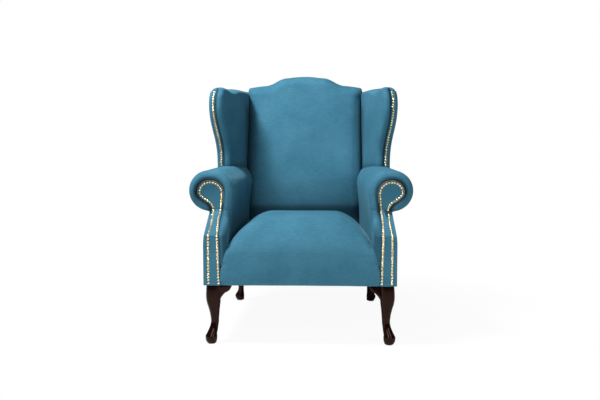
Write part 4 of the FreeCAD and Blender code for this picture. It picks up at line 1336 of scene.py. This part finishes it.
@dataclass
class CabrioleLeg:
    """A front leg: square block, swelling knee, thin ankle and round pad foot."""

    side: Side
    centre_x: float = 325.0
    centre_b: float = 34.0
    half: float = 27.0
    block_half: float = 13.0
    block_shift: float = 8.0
    block_top: float = 224.9
    block_rows: tuple = ((-1, 0.9), (-0.9, 0.96), (-0.72, 1.0), (0.72, 1.0), (0.9, 0.96), (1, 0.9))
    stations: tuple = (
        (3, 34, 2.0, 8.5), (15, 43, 2.0, 9.5), (28, 45, 2.0, 9.5), (36, 40, 2.1, 8.0),
        (50, 35.5, 2.15, 3.5), (66, 31, 2.2, -0.5), (84, 30, 2.25, -3.0), (108, 34, 2.4, -2.6),
        (134, 42, 2.7, -1.0), (158, 51, 3.1, 0.6), (178, 54, 3.5, 1.2), (202, 53, 4.2, 0.8),
        (225, 51, 5.0, 0.0),
    )

    def rings(self) -> np.ndarray:
        """Level superellipse rings whose size, squareness and outward shift follow the stations.

        Returns:
            (rings, around, 3) array in millimetres.
        """
        z, _, shift, x, b = superellipse(self.stations, 90, 48)
        return np.stack([self.centre_x + shift + x, self.centre_b - shift + b, z], -1)

    def knee_block(self, to_rear: bool) -> np.ndarray:
        """A scrolled block that carries the knee's curve up to the seat rail.

        Rings across its thickness, each the outline of the block, drawn in at both faces.

        Args:
            to_rear: True for the block on the leg's rear face.

        Returns:
            (rings, around, 3) array in millimetres.
        """
        half, top = self.half, FORM.body_bottom
        outline = chain(
            line((half - 22, top), (half + 42, top), 14),
            arc((half + 42, top), (half + 38, 210), (half + 20, 196), 14),
            arc((half + 20, 196), (half + 4, 178), (half - 6, 150), 18),
            line((half - 6, 150), (half - 22, 160), 6),
            line((half - 22, 160), (half - 22, top), 8),
        )[:-1]
        middle = outline.mean(0)
        rows = []
        for share, size in self.block_rows:
            out, up = (middle + (outline - middle) * size).T
            across = share * self.block_half + 0 * out
            if to_rear:
                flat = [self.centre_x + self.block_shift + across, self.centre_b + out]
            else:
                flat = [self.centre_x - out, self.centre_b - self.block_shift + across]
            rows.append(np.column_stack([*flat, np.minimum(up, self.block_top)]))
        return np.array(rows)

    def build(self, finishes: Finishes) -> None:
        """Makes and dresses the leg with its two knee blocks.

        Args:
            finishes: The materials of the chair.
        """
        name = f"{self.side.word}_front_leg"
        made = make_piece(name + "_turned", self.rings(), finishes.leg, self.side)
        declare(made, "polished_wood", name)
        for label, to_rear in (("inner", False), ("side", True)):
            rings = self.knee_block(to_rear)
            block = make_piece(f"{name}_{label}_knee_block", rings, finishes.leg, self.side)
            declare(block, "polished_wood")


@dataclass
class RakedLeg:
    """A back leg that sweeps rearwards to a small pad foot."""

    side: Side
    foot_x: float = 309.0
    top_b: float = 711.0
    lean: float = 69.0
    splay: float = 0.14
    thinning: float = 0.35
    foot_width: float = 43.0
    stations: tuple = (
        (3, 33, 2.05, 0), (12, 40, 2.0, 0), (22, 43, 2.0, 0), (32, 38, 2.1, -1.5), (46, 29, 2.3, -6),
        (64, 25, 2.5, -12), (100, 28, 2.9, -24), (150, 36, 3.5, -38), (225, 43, 4.5, -69),
    )

    def rings(self) -> np.ndarray:
        """Level superellipse rings shifted forward as they rise from the foot.

        Returns:
            (rings, around, 3) array in millimetres.
        """
        z, width, shift, x, b = superellipse(self.stations, 80, 40)
        out = self.splay * shift - self.thinning * (self.foot_width - width)
        return np.stack([self.foot_x + 2 + out + x, self.top_b + self.lean + shift + b, z], -1)

    def build(self, finishes: Finishes) -> None:
        """Makes and dresses the leg.

        Args:
            finishes: The materials of the chair.
        """
        name = f"{self.side.word}_back_leg"
        made = make_piece(name + "_shaped", self.rings(), finishes.leg, self.side)
        declare(made, "polished_wood", name)


# CAD nodes that stay


@dataclass
class FramePieces:
    """Finishes for the CAD nodes that stay as they are."""

    upright: tuple = ("front_post", "scroll_board", "back_post", "wing_post")
    depth: tuple = ("side_seat_rail", "arm_top_rail", "arm_tack_rail", "wing_top_rail")
    cloth: tuple = ("arm_facing", "outside_arm", "outside_wing")
    nails: tuple = ("arm_nails", "wing_nails")
    across: tuple = (
        "front_seat_rail", "back_seat_rail", "crest_rail", "back_tack_rail", "corner_blocks", "frame_dowels",
    )
    steel: tuple = ("seat_springs", "spring_clips", "leg_bolts", "leg_sockets", "foot_glides")

    def build(self, finishes: Finishes) -> None:
        """Dresses every CAD node by name.

        Args:
            finishes: The materials of the chair.
        """
        nodes = frame["nodes"]
        for side in Side:
            for names, finish in (
                (self.upright, finishes.upright), (self.depth, finishes.depth),
                (self.cloth, finishes.velvet), (self.nails, finishes.brass),
            ):
                for name in names:
                    dress(nodes[f"{side.word}_{name}"], finish)
        for name in self.across:
            dress(nodes[name], finishes.across)
        for name in self.steel:
            dress(nodes[name], finishes.steel)
        dress(nodes["outside_back"], finishes.velvet)
        dress(nodes["back_webbing"], finishes.jute)
        dress(nodes["seat_deck_cloth"], finishes.hessian)
        dress(nodes["dust_cover"], finishes.black)
        LOG.info("CAD nodes dressed")


# Studio


@dataclass
class Studio:
    """White floor and background, soft lamps and the photograph's camera."""

    camera_spot: tuple = (0.092, -3.222, 0.790)
    tilt: float = 85.0
    yaw: float = 1.87
    lens: float = 46.02
    film: float = 36.0
    world: float = 0.1
    lamps: tuple = (
        ("key", (-0.4, -3.0, 2.0), (0.0, 0.0, 0.5), 0.9, 24.0),
        ("fill", (1.5, -2.2, 1.4), (0.0, 0.0, 0.6), 1.0, 17.0),
        ("overhead", (-1.15, -0.75, 2.8), (0.0, 0.0, 0.5), 0.6, 116.0),
    )
    floor_reach: float = 12.0
    shadow_near: float = 0.55
    shadow_far: float = 1.3
    floor_glow: float = 0.94

    def build(self) -> None:
        """Makes the camera, the lamps, the world and the floor."""
        scene = bpy.context.scene
        data = bpy.data.cameras.new("camera")
        data.lens = self.lens
        data.sensor_width = self.film
        camera = bpy.data.objects.new("camera", data)
        camera.location = self.camera_spot
        camera.rotation_euler = (math.radians(self.tilt), 0, math.radians(self.yaw))
        scene.collection.objects.link(camera)
        scene.camera = camera
        for lamp in self.lamps:
            self.lamp(*lamp)
        self.sky()
        self.floor()
        scene.view_settings.view_transform = "Standard"

    def lamp(self, name: str, spot: tuple, aim: tuple, size: float, power: float) -> None:
        """A square soft lamp pointed at a place.

        Args:
            name: Name of the lamp.
            spot: Where it is, in metres.
            aim: Where it points.
            size: Side of the square.
            power: Watts.
        """
        data = bpy.data.lights.new(name, "AREA")
        data.size = size
        data.energy = power
        lamp = bpy.data.objects.new(name, data)
        lamp.location = spot
        lamp.rotation_euler = (Vector(aim) - Vector(spot)).to_track_quat("-Z", "Y").to_euler()
        bpy.context.scene.collection.objects.link(lamp)

    def sky(self) -> None:
        """A soft world that the camera and glass see as white, and that other rays see at the low world
        strength.
        """
        world = bpy.data.worlds.new("studio")
        world.use_nodes = True
        tree = world.node_tree
        tree.nodes.clear()
        path = tree.nodes.new("ShaderNodeLightPath")
        seen = tree.nodes.new("ShaderNodeMath")
        seen.operation = "MAXIMUM"
        tree.links.new(path.outputs["Is Camera Ray"], seen.inputs[0])
        tree.links.new(path.outputs["Is Transmission Ray"], seen.inputs[1])
        strength = tree.nodes.new("ShaderNodeMapRange")
        strength.inputs["To Min"].default_value = self.world
        strength.inputs["To Max"].default_value = 1.0
        tree.links.new(seen.outputs[0], strength.inputs["Value"])
        shine = tree.nodes.new("ShaderNodeBackground")
        shine.inputs["Color"].default_value = (1.0, 1.0, 1.0, 1.0)
        tree.links.new(strength.outputs[0], shine.inputs["Strength"])
        end = tree.nodes.new("ShaderNodeOutputWorld")
        tree.links.new(shine.outputs[0], end.inputs[0])
        bpy.context.scene.world = world

    def floor(self) -> None:
        """A pale floor that keeps the chair's shadow and melts into the background."""
        mesh = bpy.data.meshes.new("floor")
        far = self.floor_reach
        mesh.from_pydata([(-far, -far, 0), (far, -far, 0), (far, far, 0), (-far, far, 0)], [], [(0, 1, 2, 3)])
        floor = bpy.data.objects.new("floor", mesh)
        bpy.context.scene.collection.objects.link(floor)
        nodes = Nodes("studio_floor")
        pale = nodes.add("BsdfDiffuse", Color=(0.9, 0.9, 0.9, 1.0))
        glow = nodes.add("Emission", Color=(1.0, 1.0, 1.0, 1.0), Strength=1.0)
        path = nodes.add("LightPath")
        mix = nodes.add("MixShader")
        away = nodes.add("VectorMath", operation="LENGTH")
        nodes.join(nodes.spot, away.inputs[0])
        reach = {"From_Min": self.shadow_near, "From_Max": self.shadow_far, "To_Min": self.floor_glow}
        share = nodes.add("MapRange", To_Max=1.0, **reach)
        nodes.join(away.outputs["Value"], share.inputs["Value"])
        nodes.join(nodes.maths("MULTIPLY", path.outputs["Is Camera Ray"], share.outputs[0]), mix.inputs[0])
        nodes.join(pale.outputs[0], mix.inputs[1])
        nodes.join(glow.outputs[0], mix.inputs[2])
        dress(floor, nodes.close(mix))


def main() -> None:
    """Builds the chair's pieces in order, then the studio."""
    logging.basicConfig(level=logging.INFO, format="%(message)s")
    finishes = Finishes()
    FramePieces().build(finishes)
    Seat().build(finishes)
    InsideBack().build(finishes)
    for side in Side:
        RolledArm(side).build(finishes)
        Wing(side).build(finishes)
        CabrioleLeg(side).build(finishes)
        RakedLeg(side).build(finishes)
    Studio().build()


if __name__ == "__main__":
    main()
